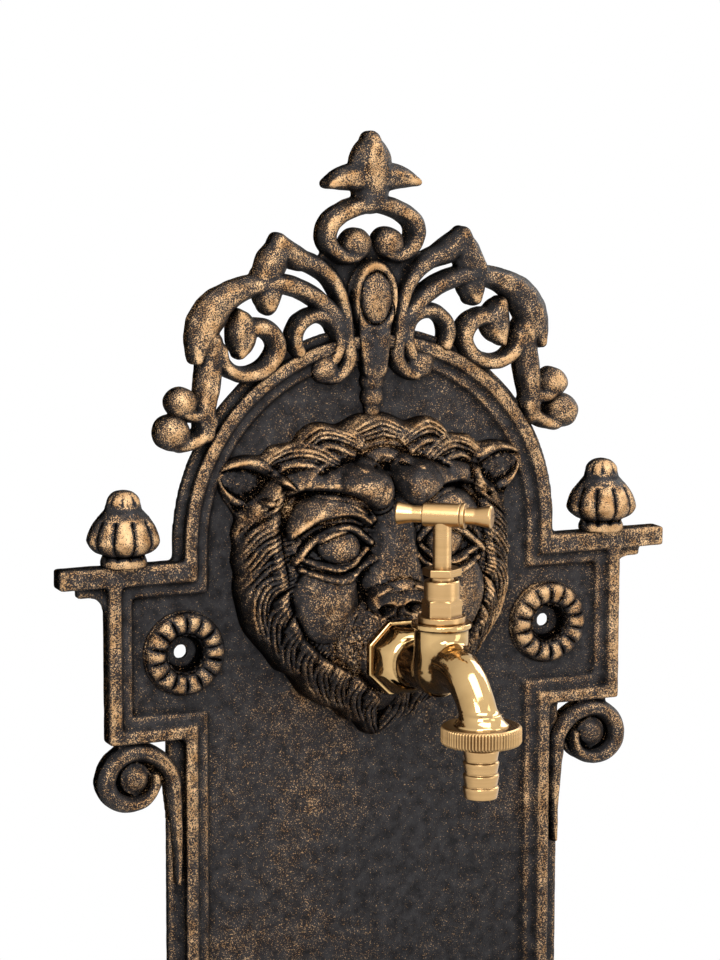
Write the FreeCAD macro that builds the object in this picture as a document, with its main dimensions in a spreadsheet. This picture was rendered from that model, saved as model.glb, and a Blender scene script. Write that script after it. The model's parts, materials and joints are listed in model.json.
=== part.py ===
import FreeCAD, Part
import math
import os
import Sketcher

# Garden wall fountain in cast iron with a brass tap. Millimetres, +Z up, the front faces -Y.
# The wall face is the plane y = 0 and the origin lies midway between the two rosette screws.

Vector = FreeCAD.Vector
Rotation = FreeCAD.Rotation

DRIVING_SIZES = {
    # panel: arch over two square shoulders over a straight shaft
    "archRadius": 100, "archRise": 53, "ribWidth": 6.5, "stepWidth": 6.3, "panelDepth": 12,
    "fieldDepth": 6, "stepDepth": 9, "backRecess": 2.5, "rimWidth": 6, "archFlare": 3.5,
    "shoulderHalf": 139.6, "shoulderTop": 36, "shoulderBottom": -42.5, "corniceHalf": 164.5,
    "corniceHeight": 10, "underStepReach": 13.9, "underStepHeight": 5.5, "coveRadius": 8,
    "shaftFlange": 7.5, "panelBottom": -425, "footRadius": 14,
    # fixings of the ornament and of the panel
    "screwRadius": 2.5, "screwLength": 12, "screwHead": 4.5, "seatGap": 0.2,
    "maskScrewSide": 62, "maskScrewLow": 36, "maskScrewUp": 24, "maskScrewDown": 44,
    "crestScrewAcross": 0.26, "crestScrewUp": 0.84, "wallScrewHole": 7, "rosetteInset": 40.1,
    "lowerScrewSide": 60, "lowerScrewLevel": -190, "studRadius": 2.5, "studLength": 8,
    # crest and volutes
    "crestBack": 1.5, "crestEdge": 8.5, "crestRidge": 14, "ridgeShare": 0.4,
    "volutePlace": 126, "voluteBack": 0.5, "voluteEdge": 8, "voluteRidge": 12.5,
    # rosettes
    "rosetteRadius": 21.5, "rosetteCup": 9.3, "rosetteWall": 1.8, "rosetteHeight": 7,
    "cupFloor": 3, "gadroonCount": 14, "gadroonDepth": 5.5, "gadroonCurve": 7.7,
    "gadroonGap": 4.4,
    # finials
    "finialInset": 1.95, "finialDepth": 6.5, "finialFoot": 11.5, "finialNeck": 9,
    "finialWaist": 10, "finialBulb": 18.2, "finialNotch": 7, "finialNotchDepth": 7,
    "finialBulbRise": 12.5, "finialShoulder": 14, "finialShoulderRise": 22, "finialHeight": 37,
    "finialCap": 8.6, "finialCapHeight": 5, "finialLobes": 10, "finialFlat": 0.5,
    # lion mask
    "maskRise": 20, "mouthRise": -2.3, "mouthReach": 44, "mouthRadius": 17, "maskWall": 6,
    "maskOpening": 40, "nutSeatRadius": 17.5, "cavityDepth": 24, "cavityHalf": 54,
    "cavityHeight": 58, "flangeSeat": 20.5, "faceGrid": 3.8, "maneGap": 4, "thinnest": 4,
    # tap body
    "flangeFlats": 36.5, "flangeThick": 4.5, "domeLength": 12, "domeFlats": 24,
    "spindleReach": 92, "inletRadius": 10.48, "inletEnd": 20, "neckRadius": 11,
    "barrelRadius": 13.2, "barrelTop": 24, "barrelBottom": -11.5, "collarRadius": 14.6,
    "collarHeight": 2.6, "waterway": 4.8, "seatLevel": 4.5, "chamberRadius": 9.2,
    "spoutRadius": 8.4, "spoutWay": 4.4, "spoutStart": 8.5, "spoutReach": 44.5,
    "spoutBend": 28, "flareHeight": 6, "outletRadius": 13.1, "outletTop": -16.5,
    "threadLength": 5,
    # headwork and handle
    "bonnetSkirt": 10, "bonnetFlange": 11.5, "bonnetFlangeThick": 3, "bonnetHex": 17,
    "bonnetHexHeight": 8, "bonnetBarrel": 8.7, "bonnetTop": 44.5, "spindleRadius": 4.5,
    "runningGap": 0.05, "spindleThread": 5.8, "threadGap": 0.1, "spindleBottom": 10,
    "spindleShoulder": 26, "valveLift": 3.75, "packingLevel": 38, "packingThick": 3,
    "glandThread": 5.8, "glandLevel": 46.5, "glandHex": 16.5, "glandHeight": 3.7,
    "spindleTop": 74, "hubLevel": 75.7, "hubRadius": 5.8, "hubLength": 18.7,
    "collarRing": 2, "ringRadius": 6.25, "endLength": 13, "endInner": 4.1, "endOuter": 5.6,
    "handleAngle": 37.4, "valveRadius": 7.4, "washerThick": 3.2, "valveThick": 2,
    "stemRadius": 2.5, "stemLength": 12,
    # outlet fittings
    "nutRadius": 19.2, "nutHeight": 9, "nutGap": 0.5, "tailRadius": 8.6,
    "tailBore": 6.5, "tailLength": 27.5, "barbCount": 4, "barbDepth": 0.9, "barbPitch": 6,
    "flangeWasher": 1.5, "tailFlange": 12.5,
    # inlet fittings
    "wallGap": 2, "backNutFlats": 27, "backNutThick": 6, "sealThick": 2, "sealRadius": 16,
    "adapterFlats": 26, "adapterGap": 1, "adapterHex": 15,
    # basin
    "basinSetback": 1.5, "basinLip": 8, "lipHeight": 8, "basinRim": -235, "basinBottom": -372,
    "basinWall": 5, "basinStraight": 50, "basinFoot": 44, "bowlRadius": 128,
    "bowlTop": 27, "backWall": 6, "tabHalf": 46, "tabBottom": -398, "boltRadius": 4,
    "boltRow": 70, "boltInset": 18, "tabBoltRow": 28, "tabBoltInset": 13, "boltBoss": 11,
    "boltHead": 9, "boltLength": 26, "nutFlats": 13, "nutThick": 6.5,
    # drain
    "drainHole": 16, "drainThread": 15.5, "drainBore": 12.5, "drainFlange": 24,
    "flangeHeight": 2.4, "strainerThick": 2, "strainerRing": 8, "strainerHole": 2.6,
    "strainerHoles": 6, "gasketThick": 1.5, "lockNutFlats": 44, "lockNutThick": 6.5,
    "drainLength": 22, "drainTail": 16, "tailSocket": 19, "socketLength": 14,
    "drainTailLength": 36,
}


class Size:
    """A number that remembers the spreadsheet expression that it came from."""

    def __init__(self, value, text):
        self.value = float(value)
        self.text = text

    def __float__(self):
        return self.value

    def __add__(self, other):
        return Size(self.value + float(other), f"({self.text} + {formula(other)})")

    def __sub__(self, other):
        return Size(self.value - float(other), f"({self.text} - {formula(other)})")

    def __mul__(self, other):
        return Size(self.value * float(other), f"({self.text} * {formula(other)})")

    def __truediv__(self, other):
        return Size(self.value / float(other), f"({self.text} / {formula(other)})")

    def __neg__(self):
        return Size(-self.value, f"(0 - {self.text})")

    def __radd__(self, other):
        return Size(float(other) + self.value, f"({formula(other)} + {self.text})")

    def __rsub__(self, other):
        return Size(float(other) - self.value, f"({formula(other)} - {self.text})")

    __rmul__ = __mul__


def formula(size):
    return size.text if isinstance(size, Size) else repr(float(size))


class Sizes:
    """The spreadsheet of driving dimensions, read as attributes."""

    def __init__(self, document, values):
        sheet = document.addObject("Spreadsheet::Sheet", "Sizes")
        for row, (alias, value) in enumerate(values.items(), start=1):
            sheet.set(f"A{row}", alias)
            sheet.set(f"B{row}", str(value))
            sheet.setAlias(f"B{row}", alias)
        document.recompute()
        for alias in values:
            setattr(self, alias, Size(sheet.get(alias), f"Sizes.{alias}"))


doc = FreeCAD.newDocument("wall_fountain")
s = Sizes(doc, DRIVING_SIZES)
parts = {}


def bind(thing, name, size):
    # a property follows the sheet when the size comes from it
    if isinstance(size, Size):
        thing.setExpression(name, size.text)
    else:
        thing.setExpression(name, repr(float(size)))


def keep(name, thing):
    thing.Label = name
    parts[name] = thing
    return thing


def newBody(name):
    return keep(name, doc.addObject("PartDesign::Body", name))


def place(thing, x=0, y=0, z=0, axis=None, angle=0):
    # puts a piece in the shared frame: turned about one axis, then moved
    if axis is not None:
        thing.Placement = FreeCAD.Placement(Vector(), Rotation(Vector(*axis), float(angle)))
        if isinstance(angle, Size):
            bind(thing, "Placement.Rotation.Angle", angle)
    for letter, value in (("x", x), ("y", y), ("z", z)):
        bind(thing, f"Placement.Base.{letter}", value)
    return thing


def originPlane(body, role):
    return [item for item in body.Origin.OriginFeatures if item.Role == role][0]


def newSketch(body, name, role, offset=0):
    sketch = body.newObject("Sketcher::SketchObject", name)
    sketch.AttachmentSupport = [(originPlane(body, role), "")]
    sketch.MapMode = "FlatFace"
    bind(sketch, "AttachmentOffset.Base.z", offset)
    return sketch


def pin(sketch, index, position, corner):
    # fixes one end of a line or arc at a corner whose coordinates come from the sheet
    for kind, value, axis in (("DistanceX", corner[0], -2), ("DistanceY", corner[1], -1)):
        if float(value) == 0:
            sketch.addConstraint(Sketcher.Constraint("PointOnObject", index, position, axis))
            continue
        rule = sketch.addConstraint(
            Sketcher.Constraint(kind, -1, 1, index, position, float(value)))
        bind(sketch, f"Constraints[{rule}]", value)


def arcCentre(start, end, radius, left):
    middle = (start + end) * 0.5
    chord = end - start
    rise = math.sqrt(max(radius ** 2 - (chord.Length / 2) ** 2, 0))
    normal = Vector(-chord.y, chord.x, 0).normalize()
    return middle + normal * (rise if left else -rise)


def addOutline(sketch, corners, arcs=None):
    # closed outline through corners; arcs maps a side's number to (radius, centre on the left)
    arcs = arcs or {}
    points = [Vector(float(x), float(y), 0) for x, y in corners]
    ends = []
    for number, start in enumerate(points):
        end = points[(number + 1) % len(points)]
        if number not in arcs:
            index = sketch.addGeometry(Part.LineSegment(start, end))
            ends.append((index, 1, 2))
            continue
        radius, left = arcs[number]
        centre = arcCentre(start, end, float(radius), left)
        first, last = (start, end) if left else (end, start)
        begin = math.atan2(first.y - centre.y, first.x - centre.x)
        finish = math.atan2(last.y - centre.y, last.x - centre.x)
        if finish <= begin:
            finish += 2 * math.pi
        circle = Part.Circle(centre, Vector(0, 0, 1), float(radius))
        index = sketch.addGeometry(Part.ArcOfCircle(circle, begin, finish))
        ends.append((index, 1, 2) if left else (index, 2, 1))
        if (end - start).Length < 1.999 * float(radius):
            rule = sketch.addConstraint(Sketcher.Constraint("Radius", index, float(radius)))
            bind(sketch, f"Constraints[{rule}]", radius)
        else:
            # a half circle's centre is level with its ends
            level = corners[number][1]
            rule = sketch.addConstraint(
                Sketcher.Constraint("DistanceY", -1, 1, index, 3, float(level)))
            bind(sketch, f"Constraints[{rule}]", level)
    for number, (index, start, end) in enumerate(ends):
        following = ends[(number + 1) % len(ends)]
        sketch.addConstraint(
            Sketcher.Constraint("Coincident", index, end, following[0], following[1]))
        pin(sketch, index, start, corners[number])


def addCircle(sketch, centre, radius):
    circle = Part.Circle(Vector(float(centre[0]), float(centre[1]), 0), Vector(0, 0, 1),
                         float(radius))
    index = sketch.addGeometry(circle)
    pin(sketch, index, 3, centre)
    rule = sketch.addConstraint(Sketcher.Constraint("Radius", index, float(radius)))
    bind(sketch, f"Constraints[{rule}]", radius)


def addPolygon(sketch, sides, flats, centre=(0, 0)):
    # regular polygon given across its flats, with a flat on either side
    reach = flats / (2 * math.cos(math.pi / sides))
    corners = []
    for number in range(sides):
        angle = 2 * math.pi / sides * (number + 0.5)
        corners.append((centre[0] + reach * math.cos(angle),
                        centre[1] + reach * math.sin(angle)))
    addOutline(sketch, corners)


def mirrored(corners):
    # the right half of an outline, bottom to top, followed by its mirror image
    return corners + [(-x, z) for x, z in reversed(corners)]


def pad(body, sketch, length, name, reverse=False):
    feature = body.newObject("PartDesign::Pad", name)
    feature.Profile = sketch
    bind(feature, "Length", length)
    feature.Reversed = reverse
    return feature


def pocket(body, sketch, length, name, reverse=False):
    feature = body.newObject("PartDesign::Pocket", name)
    feature.Profile = sketch
    feature.Reversed = reverse
    if length is None:
        feature.Type = "ThroughAll"
        feature.Midplane = True
    else:
        bind(feature, "Length", length)
    return feature


def revolve(body, sketch, name, angle=360, kind="PartDesign::Revolution", reverse=False,
            axis="V_Axis"):
    feature = body.newObject(kind, name)
    feature.Profile = sketch
    feature.ReferenceAxis = (sketch, [axis])
    feature.Angle = angle
    feature.Reversed = reverse
    return feature


def turned(name, corners, arcs=None, axis="V_Axis"):
    # a piece turned about its own Z axis from a half section of (radius, height) corners
    body = newBody(name)
    sketch = newSketch(body, f"{name}Section", "XZ_Plane")
    addOutline(sketch, corners, arcs)
    revolve(body, sketch, f"{name}Turned", axis=axis)
    return body


def ring(name, bore, radius, bottom, top):
    return turned(name, [(bore, bottom), (radius, bottom), (radius, top), (bore, top)])


def hexPad(body, name, flats, bottom, height):
    sketch = newSketch(body, f"{name}Outline", "XY_Plane", bottom)
    addPolygon(sketch, 6, flats)
    return pad(body, sketch, height, name)


def bore(body, name, radius, bottom, top):
    # a round hole along the body's Z axis
    sketch = newSketch(body, f"{name}Outline", "XY_Plane", top)
    addCircle(sketch, (0, 0), radius)
    return pocket(body, sketch, top - bottom, name)


def polarPattern(body, feature, count, name):
    pattern = body.newObject("PartDesign::PolarPattern", name)
    pattern.Originals = [feature]
    pattern.Axis = ([item for item in body.Origin.OriginFeatures if item.Role == "Z_Axis"][0],
                    [""])
    pattern.Angle = 360
    bind(pattern, "Occurrences", count)
    body.Tip = pattern
    return pattern


def panelLine(inset, bottomInset, topExtra=0):
    # the arch, shoulder and shaft line of the ribs, moved inwards by an inset
    radius = s.archRadius - inset
    shoulder = s.shoulderHalf - inset
    top = s.shoulderTop - topExtra
    bottom = s.shoulderBottom + inset
    right = [(radius, s.panelBottom + bottomInset), (radius, bottom), (shoulder, bottom),
             (shoulder, top), (radius, top), (radius, s.archRise)]
    corners = mirrored(right)
    return corners, {len(right) - 1: (radius, True)}


def backPanel():
    body = newBody("back_panel")
    plateLine = newSketch(body, "PlateLine", "XZ_Plane")
    flareRadius = s.archRadius + s.archFlare
    top = s.shoulderTop + s.corniceHeight
    flange = s.archRadius + s.shaftFlange
    reach = s.shoulderHalf + s.underStepReach
    stepBottom = s.shoulderTop - s.underStepHeight
    right = [(flange - s.footRadius, s.panelBottom), (flange, s.panelBottom + s.footRadius),
             (flange, s.shoulderBottom), (s.shoulderHalf, s.shoulderBottom),
             (s.shoulderHalf, stepBottom - s.coveRadius),
             (s.shoulderHalf + s.coveRadius, stepBottom), (reach, stepBottom),
             (reach, s.shoulderTop), (s.corniceHalf, s.shoulderTop), (s.corniceHalf, top),
             (flareRadius, top), (flareRadius, s.archRise)]
    count = len(right)
    arcs = {0: (s.footRadius, True), 4: (s.coveRadius, False), count - 1: (flareRadius, True),
            2 * count - 6: (s.coveRadius, False), 2 * count - 2: (s.footRadius, True)}
    addOutline(plateLine, mirrored(right), arcs)
    pad(body, plateLine, s.fieldDepth, "Plate")

    ribs = newSketch(body, "RibLines", "XZ_Plane", s.fieldDepth)
    outer = [(s.archRadius, s.panelBottom + s.footRadius), (s.archRadius, s.shoulderBottom),
             (s.shoulderHalf, s.shoulderBottom), (s.shoulderHalf, s.shoulderTop),
             (s.corniceHalf, s.shoulderTop), (s.corniceHalf, top), (s.archRadius, top),
             (s.archRadius, s.archRise)]
    addOutline(ribs, mirrored(outer), {len(outer) - 1: (s.archRadius, True)})
    addOutline(ribs, *panelLine(s.ribWidth, s.footRadius + s.ribWidth))
    pad(body, ribs, s.panelDepth - s.fieldDepth, "Ribs")

    step = newSketch(body, "StepLines", "XZ_Plane", s.fieldDepth)
    inner = s.ribWidth + s.stepWidth
    addOutline(step, *panelLine(s.ribWidth, s.footRadius + s.ribWidth))
    addOutline(step, *panelLine(inner, s.footRadius + inner, s.stepWidth))
    front = pad(body, step, s.stepDepth - s.fieldDepth, "Step")

    recess = newSketch(body, "BackRecess", "XZ_Plane")
    addOutline(recess, *panelLine(s.rimWidth, s.footRadius + s.rimWidth))
    pocket(body, recess, s.backRecess, "Recess", reverse=True)

    holes = newSketch(body, "Holes", "XZ_Plane")
    for side in (1, -1):
        addCircle(holes, (rosettePlace() * side, 0), s.rosetteCup + s.rosetteWall + s.seatGap)
        for x, z in maskScrews(side) + crestScrews(side):
            addCircle(holes, (x, z), s.screwRadius + s.seatGap)
        for x, z in lowerFixings(side):
            addCircle(holes, (x, z), s.wallScrewHole / 2)
        for x, z in basinBolts(side):
            addCircle(holes, (x, z), s.boltRadius + s.seatGap)
    addCircle(holes, (0, s.maskRise), s.maskOpening)
    pocket(body, holes, None, "ThroughHoles")

    studs = newSketch(body, "StudHoles", "XY_Plane", top)
    voluteStuds = newSketch(body, "VoluteStudHoles", "XY_Plane", s.shoulderBottom)
    for side in (1, -1):
        addCircle(studs, (finialPlace() * side, -s.finialDepth), s.studRadius)
        addCircle(voluteStuds, (s.volutePlace * side, -s.fieldDepth), s.studRadius)
    pocket(body, studs, s.studLength, "FinialHoles")
    pocket(body, voluteStuds, s.studLength, "VoluteHoles", reverse=True)
    return front


def rosettePlace():
    return s.shoulderHalf - s.rosetteInset


def finialPlace():
    # about halfway between the arch's side and the cornice's end
    return (s.archRadius + s.corniceHalf) / 2 - s.finialInset


def basinHalf():
    # the basin's lip comes out nearly as far as the cornice
    return s.corniceHalf - s.basinSetback - s.basinLip


def maskScrews(side):
    return [(s.maskScrewSide * side, s.maskRise + s.maskScrewUp),
            (s.maskScrewLow * side, s.maskRise - s.maskScrewDown)]


def crestScrews(side):
    return [(s.archRadius * s.crestScrewAcross * side,
             s.archRise + s.archRadius * s.crestScrewUp)]


def lowerFixings(side):
    return [(s.lowerScrewSide * side, s.lowerScrewLevel)]


def basinBolts(side):
    return [(s.boltRow * side, s.basinRim - s.boltInset),
            (s.tabBoltRow * side, s.basinBottom - s.tabBoltInset)]


def circleCentre(first, middle, last):
    # centre of the circle through three points, or nothing when they lie in a line
    ax, ay = middle[0] - first[0], middle[1] - first[1]
    bx, by = last[0] - first[0], last[1] - first[1]
    area = 2 * (ax * by - ay * bx)
    if abs(area) < 0.02 * (bx * bx + by * by):
        return None
    a, b = ax * ax + ay * ay, bx * bx + by * by
    return first[0] + (by * a - ay * b) / area, first[1] + (ax * b - bx * a) / area


def headings(points):
    # unit tangents along a chain of arcs, each through three points, smoothed where two meet
    found = [[] for _ in points]
    for first in range(0, len(points) - 2, 2):
        trio = points[first:first + 3]
        centre = circleCentre(*trio)
        for step, (x, z) in enumerate(trio):
            along = (trio[2][0] - trio[0][0], trio[2][1] - trio[0][1])
            if centre is not None:
                square = (centre[1] - z, x - centre[0])
                forward = square[0] * along[0] + square[1] * along[1]
                if step == 1 or abs(forward) > 1e-6:
                    along = square if forward > 0 else (-square[0], -square[1])
            size = math.hypot(*along)
            found[first + step].append((along[0] / size, along[1] / size))
    result = []
    for options in found:
        x = sum(option[0] for option in options)
        z = sum(option[1] for option in options)
        size = math.hypot(x, z)
        result.append((x / size, z / size))
    return result


def bow(first, middle, last):
    if circleCentre((first.x, first.z), (middle.x, middle.z), (last.x, last.z)) is None:
        return Part.makeLine(first, last)
    return Part.Arc(first, middle, last).toShape()


def scrollWire(points, widths, share, level):
    # outline of a tapering scroll about its centreline, with round ends, at y = -level
    sides = ([], [])
    for (x, z), (dx, dz), width in zip(points, headings(points), widths):
        half = width * share / 2
        sides[0].append(Vector(x - dz * half, -level, z + dx * half))
        sides[1].append(Vector(x + dz * half, -level, z - dx * half))
    left, right = sides[0], sides[1][::-1]
    edges = [bow(*left[first:first + 3]) for first in range(0, len(left) - 2, 2)]
    dx, dz = headings(points)[-1]
    reach = widths[-1] * share / 2
    tip = Vector(points[-1][0] + dx * reach, -level, points[-1][1] + dz * reach)
    edges.append(Part.Arc(left[-1], tip, right[0]).toShape())
    edges += [bow(*right[first:first + 3]) for first in range(0, len(right) - 2, 2)]
    dx, dz = headings(points)[0]
    reach = widths[0] * share / 2
    tip = Vector(points[0][0] - dx * reach, -level, points[0][1] - dz * reach)
    edges.append(Part.Arc(right[-1], tip, left[0]).toShape())
    return Part.Wire(edges)


def scroll(points, widths, back, edge, ridge, share):
    # a flat-backed scroll whose front rises from its edges over a shoulder to a narrow ridge
    base = Part.Face(scrollWire(points, widths, 1, back)).extrude(Vector(0, back - edge, 0))
    shoulder = edge + (ridge - edge) * 0.68
    crown = Part.makeLoft([scrollWire(points, widths, 1, edge),
                           scrollWire(points, widths, (1 + share) / 2, shoulder),
                           scrollWire(points, widths, share, ridge)], True, True)
    return [base, crown]


def bead(x, z, radius, depth):
    # half a ball on the front
    return Part.makeSphere(radius, Vector(x, -depth, z), Vector(0, -1, 0), 0, 90, 360)


def mirrorAcross(shapes):
    return [shape.mirror(Vector(), Vector(1, 0, 0)) for shape in shapes]


def fused(shapes):
    whole = shapes[0].multiFuse(shapes[1:])
    return whole.removeSplitter()


def feature(name, shape):
    thing = doc.addObject("Part::Feature", name)
    thing.Shape = shape
    return keep(name, thing)


# The crest is drawn over an arch of this radius, and grows with it.
DRAWN_ARCH = 100

# Scrolls of the crest's right half: centreline points and widths, above the arch's centre.
CREST_SCROLLS = {
    "leafAndScroll": [(93, 91.5, 4), (89, 106, 15), (79, 119.5, 13.5), (65, 126, 9.5),
                      (49, 127, 8.5), (34, 121.8, 8.5), (22.5, 112.5, 8), (15.5, 102, 8),
                      (13, 92, 7.5), (15.8, 82.8, 7), (23, 79.3, 6)],
    "horn": [(49.5, 148.5, 6), (44.5, 142, 11), (36, 137.6, 9), (27, 133, 8), (20, 125.5, 7),
             (15.5, 114, 6), (14, 100, 5)],
    "hornBase": [(50.5, 147, 6), (52, 138.5, 14), (58, 131, 9)],
    "loop": [(0, 164.8, 8), (12, 162, 8), (21, 157, 8.5), (24, 149.5, 8.5), (20.5, 142, 7.5),
             (14.5, 138.8, 6), (8.5, 139.5, 5)],
    "budLobe": [(3, 176.5, 12), (14, 177.2, 11), (23.5, 174.8, 3.5)],
    "innerRing": [(39.5, 93, 6), (41, 102, 6.5), (35.5, 109.3, 6.5), (27, 110.3, 6.5),
                  (20.3, 105.5, 6.5), (18.5, 97, 6.5), (21, 89, 6)],
    "curl": [(81, 96, 7), (77.5, 87.5, 6.5), (67, 83, 6.5), (56, 86.5, 7.5), (50.5, 95, 8),
             (53.5, 103, 8), (62.5, 106, 8)],
    "curlLeaf": [(71, 114, 3), (68.5, 104, 14), (71, 92.8, 3)],
    "strap": [(84, 100, 9), (86, 83, 12), (88, 70, 10), (88.5, 62, 9), (88, 55, 8)],
    "upperCurl": [(86, 71.5, 6), (91, 65, 6), (98.5, 65.5, 5.5)],
    "lowerCurl": [(86, 61, 7), (92.5, 53, 6.5), (102, 50.2, 6)],
    "drop": [(55, 122, 13), (55.3, 118, 10.5), (55.3, 116, 7.5)],
}
CREST_BEADS = [(26, 84, 6.6), (8.6, 145, 7.2), (100.6, 71, 7), (105.5, 56.5, 8.2)]
DROP_BEADS = [(0, 84, 5), (0, 77, 5.6), (0, 69, 5.4), (0, 63, 3.6)]
STEM = [(0, 112, 18), (0, 98, 15), (0, 84, 12)]
# Right half of the plate behind the middle, from the stem's foot to between the loops.
CREST_WEB = [(9, 84), (16, 90), (19, 104), (17, 118), (21, 130), (27, 138.5), (22, 144)]
BUD = [(0, 168, 16), (0, 176, 19), (0, 183.5, 20), (0, 190.5, 16.5), (0, 195.4, 8.4)]
# Height of the oval's middle, its half height and half width, and the same of its boss.
CARTOUCHE = [(119.5, 17, 12.8), (119.5, 12, 7.2)]


def grown(rows, size):
    return [tuple(number * size for number in row) for row in rows]


def strand(rows, back, edge, ridge):
    points = [(x, z) for x, z, width in rows]
    return scroll(points, [width for x, z, width in rows], back, edge, ridge,
                  float(s.ridgeShare))


def crestBlank():
    back, edge, ridge = float(s.crestBack), float(s.crestEdge), float(s.crestRidge)
    size = float(s.archRadius) / DRAWN_ARCH
    right = []
    for rows in CREST_SCROLLS.values():
        right += strand(grown(rows, size), back, edge, ridge)
    for x, z, radius in grown(CREST_BEADS, size):
        right += [disc(x, z, radius, back, edge), bead(x, z, radius, edge)]
    middle = []
    for x, z, radius in grown(DROP_BEADS, size):
        middle += [disc(x, z, radius, back, edge), bead(x, z, radius, edge)]
    middle += strand(grown(BUD, size), back, edge, ridge)
    middle += strand(grown(STEM, size), back, ridge - 0.5, ridge + 1)
    middle.append(web(grown(CREST_WEB, size), back, edge - 2))
    frame, boss = grown(CARTOUCHE, size)
    middle.append(oval(*frame, back, edge + 1.5))
    middle.append(oval(*boss, edge, ridge + 1.5))
    return fused(right + mirrorAcross(right) + middle)


def crest(seat):
    # the crest sits on the arch and laps over its ribs, so the panel's front is cut away from it
    blank = crestBlank()
    blank.translate(Vector(0, 0, float(s.archRise)))
    holes = []
    for side in (1, -1):
        for x, z in crestScrews(side):
            holes.append(disc(float(x), float(z), s.screwRadius, 0, s.screwLength))
    return feature("crest", blank.cut([seat] + holes))


def disc(x, z, radius, back, front):
    # a round lying on the front, from y = -back to y = -front
    return Part.makeCylinder(float(radius), float(front) - float(back),
                             Vector(x, -float(front), z), Vector(0, 1, 0))


def web(outline, back, front):
    # a plate given by the right half of its outline
    corners = [Vector(x, -back, z) for x, z in mirrored(outline)]
    return Part.Face(Part.makePolygon(corners + corners[:1])).extrude(Vector(0, back - front, 0))


def oval(z, halfHeight, halfWidth, back, front):
    top, side = Vector(0, -back, z + halfHeight), Vector(halfWidth, -back, z)
    edge = Part.Ellipse(top, side, Vector(0, -back, z)).toShape()
    return Part.Face(Part.Wire(edge)).extrude(Vector(0, back - front, 0))


# Right half of the lion's face. Rolls and furrows: height, then points with their widths.
FACE_ROLLS = {
    "brow": (7, [(4, 80, 14), (12, 82.5, 19), (23, 83, 14), (34, 81, 9), (46, 80.5, 8),
                 (56, 79, 7), (62, 75, 6)]),
    "lidPad": (4.5, [(16, 67, 7), (23, 70.5, 9), (33, 71.5, 10), (43, 68, 10), (51, 59, 8)]),
    "upperLid": (6.5, [(50, 48, 5), (44, 53, 6), (37, 58.5, 7), (30, 61.5, 7), (22, 61.5, 7),
                       (14, 56, 6)]),
    "lowerLid": (5, [(47, 46, 4), (40, 42, 5), (31, 40, 6), (22, 42, 6), (14, 50, 5)]),
    "noseBridge": (6, [(0, 76, 14), (0, 60, 19), (0, 46, 20), (0, 34, 22)]),
    "noseTip": (5, [(-9, 28, 12), (0, 29, 13), (9, 28, 12)]),
    "ear": (7.5, [(50, 85.5, 7), (57, 91, 8), (66, 93.5, 9), (75, 92.5, 8.5), (79, 86, 7),
                  (76, 77, 6), (68, 71, 6)]),
    "socket": (-5, [(49, 71, 5), (43, 75, 6), (34, 76.5, 6), (25, 75, 6), (18, 71, 6),
                    (12, 61, 6)]),
    "faceEdge": (-5.5, [(51, 83, 6), (54.8, 70, 6), (55, 55, 6), (54, 38, 6), (51, 22, 6),
                        (43, 6, 6), (33, -3, 6)]),
    "channel": (-5, [(12, 59, 6), (14, 48, 7), (17, 38, 7), (19, 26, 7), (22, 14, 6)]),
    "furrow": (-5, [(0, 92, 7), (0, 84, 7), (0, 77, 6)]),
}
# Swellings and hollows: across, height, half breadth, half height, rise.
FACE_SWELLINGS = {
    "eyePit": (30, 52, 21, 15, -5.5), "eyeball": (29, 51.5, 10, 8.5, 8.5),
    "cheek": (35.5, 24, 17, 18, 7.5),
    "muzzle": (16.5, 3, 15, 17, 6), "chin": (0, -24, 15, 10, 4), "nostril": (8.5, 20, 6, 4.5, -6),
    "forehead": (0, 97, 15, 5, 3), "earHollow": (66, 83, 10, 8, -5),
}
# Locks of the mane: rise, then points with their widths.
MANE_LOCKS = [
    (5.5, [(52, 71, 8), (62, 66, 12), (73, 58, 7)]), (5.5, [(53, 61, 8), (64, 55, 12), (75, 48, 7)]),
    (5.5, [(54, 50, 8), (64, 45, 12), (74, 38, 7)]),
    (6.5, [(56, 39, 10), (65, 32, 16), (68, 18, 14), (61, 3, 5)]),
    (5.5, [(53, 24, 7), (57, 10, 12), (51, -9, 5)]), (6, [(46, 12, 8), (49, 0, 13), (43, -17, 5)]),
    (6, [(37, 6, 8), (41, -8, 13), (33, -28, 5)]), (5.5, [(28, 0, 8), (31, -16, 12), (24, -34, 5)]),
    (6, [(18, -10, 8), (22, -24, 12), (14, -40, 5)]), (6, [(8, -22, 8), (11, -34, 11), (4, -47, 5)]),
    (6, [(27, 88, 6), (36, 95, 11), (47, 98, 12), (58, 92, 6)]),
    (6, [(12, 98, 8), (22, 106, 13), (33, 106, 13), (43, 98, 6)]),
    (6, [(-14, 102, 8), (0, 106.5, 14), (14, 102, 8)]),
]
FACE_MIDDLE = 32
FACE_SPREAD = (76, 82)
MANE_EDGE = (53, 55)
# Right half of the mask's outline, from the chin to the middle of the mane, in arcs.
MASK_OUTLINE = [(0, -50), (20, -41), (36, -30), (54, -15), (66, 7), (74, 28), (75, 50),
                (74, 62), (70, 72), (76, 82), (78.5, 93), (67, 98), (54, 95), (48, 101),
                (38, 104), (28, 109.5), (16, 108), (8, 111), (0, 111.5)]


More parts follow.
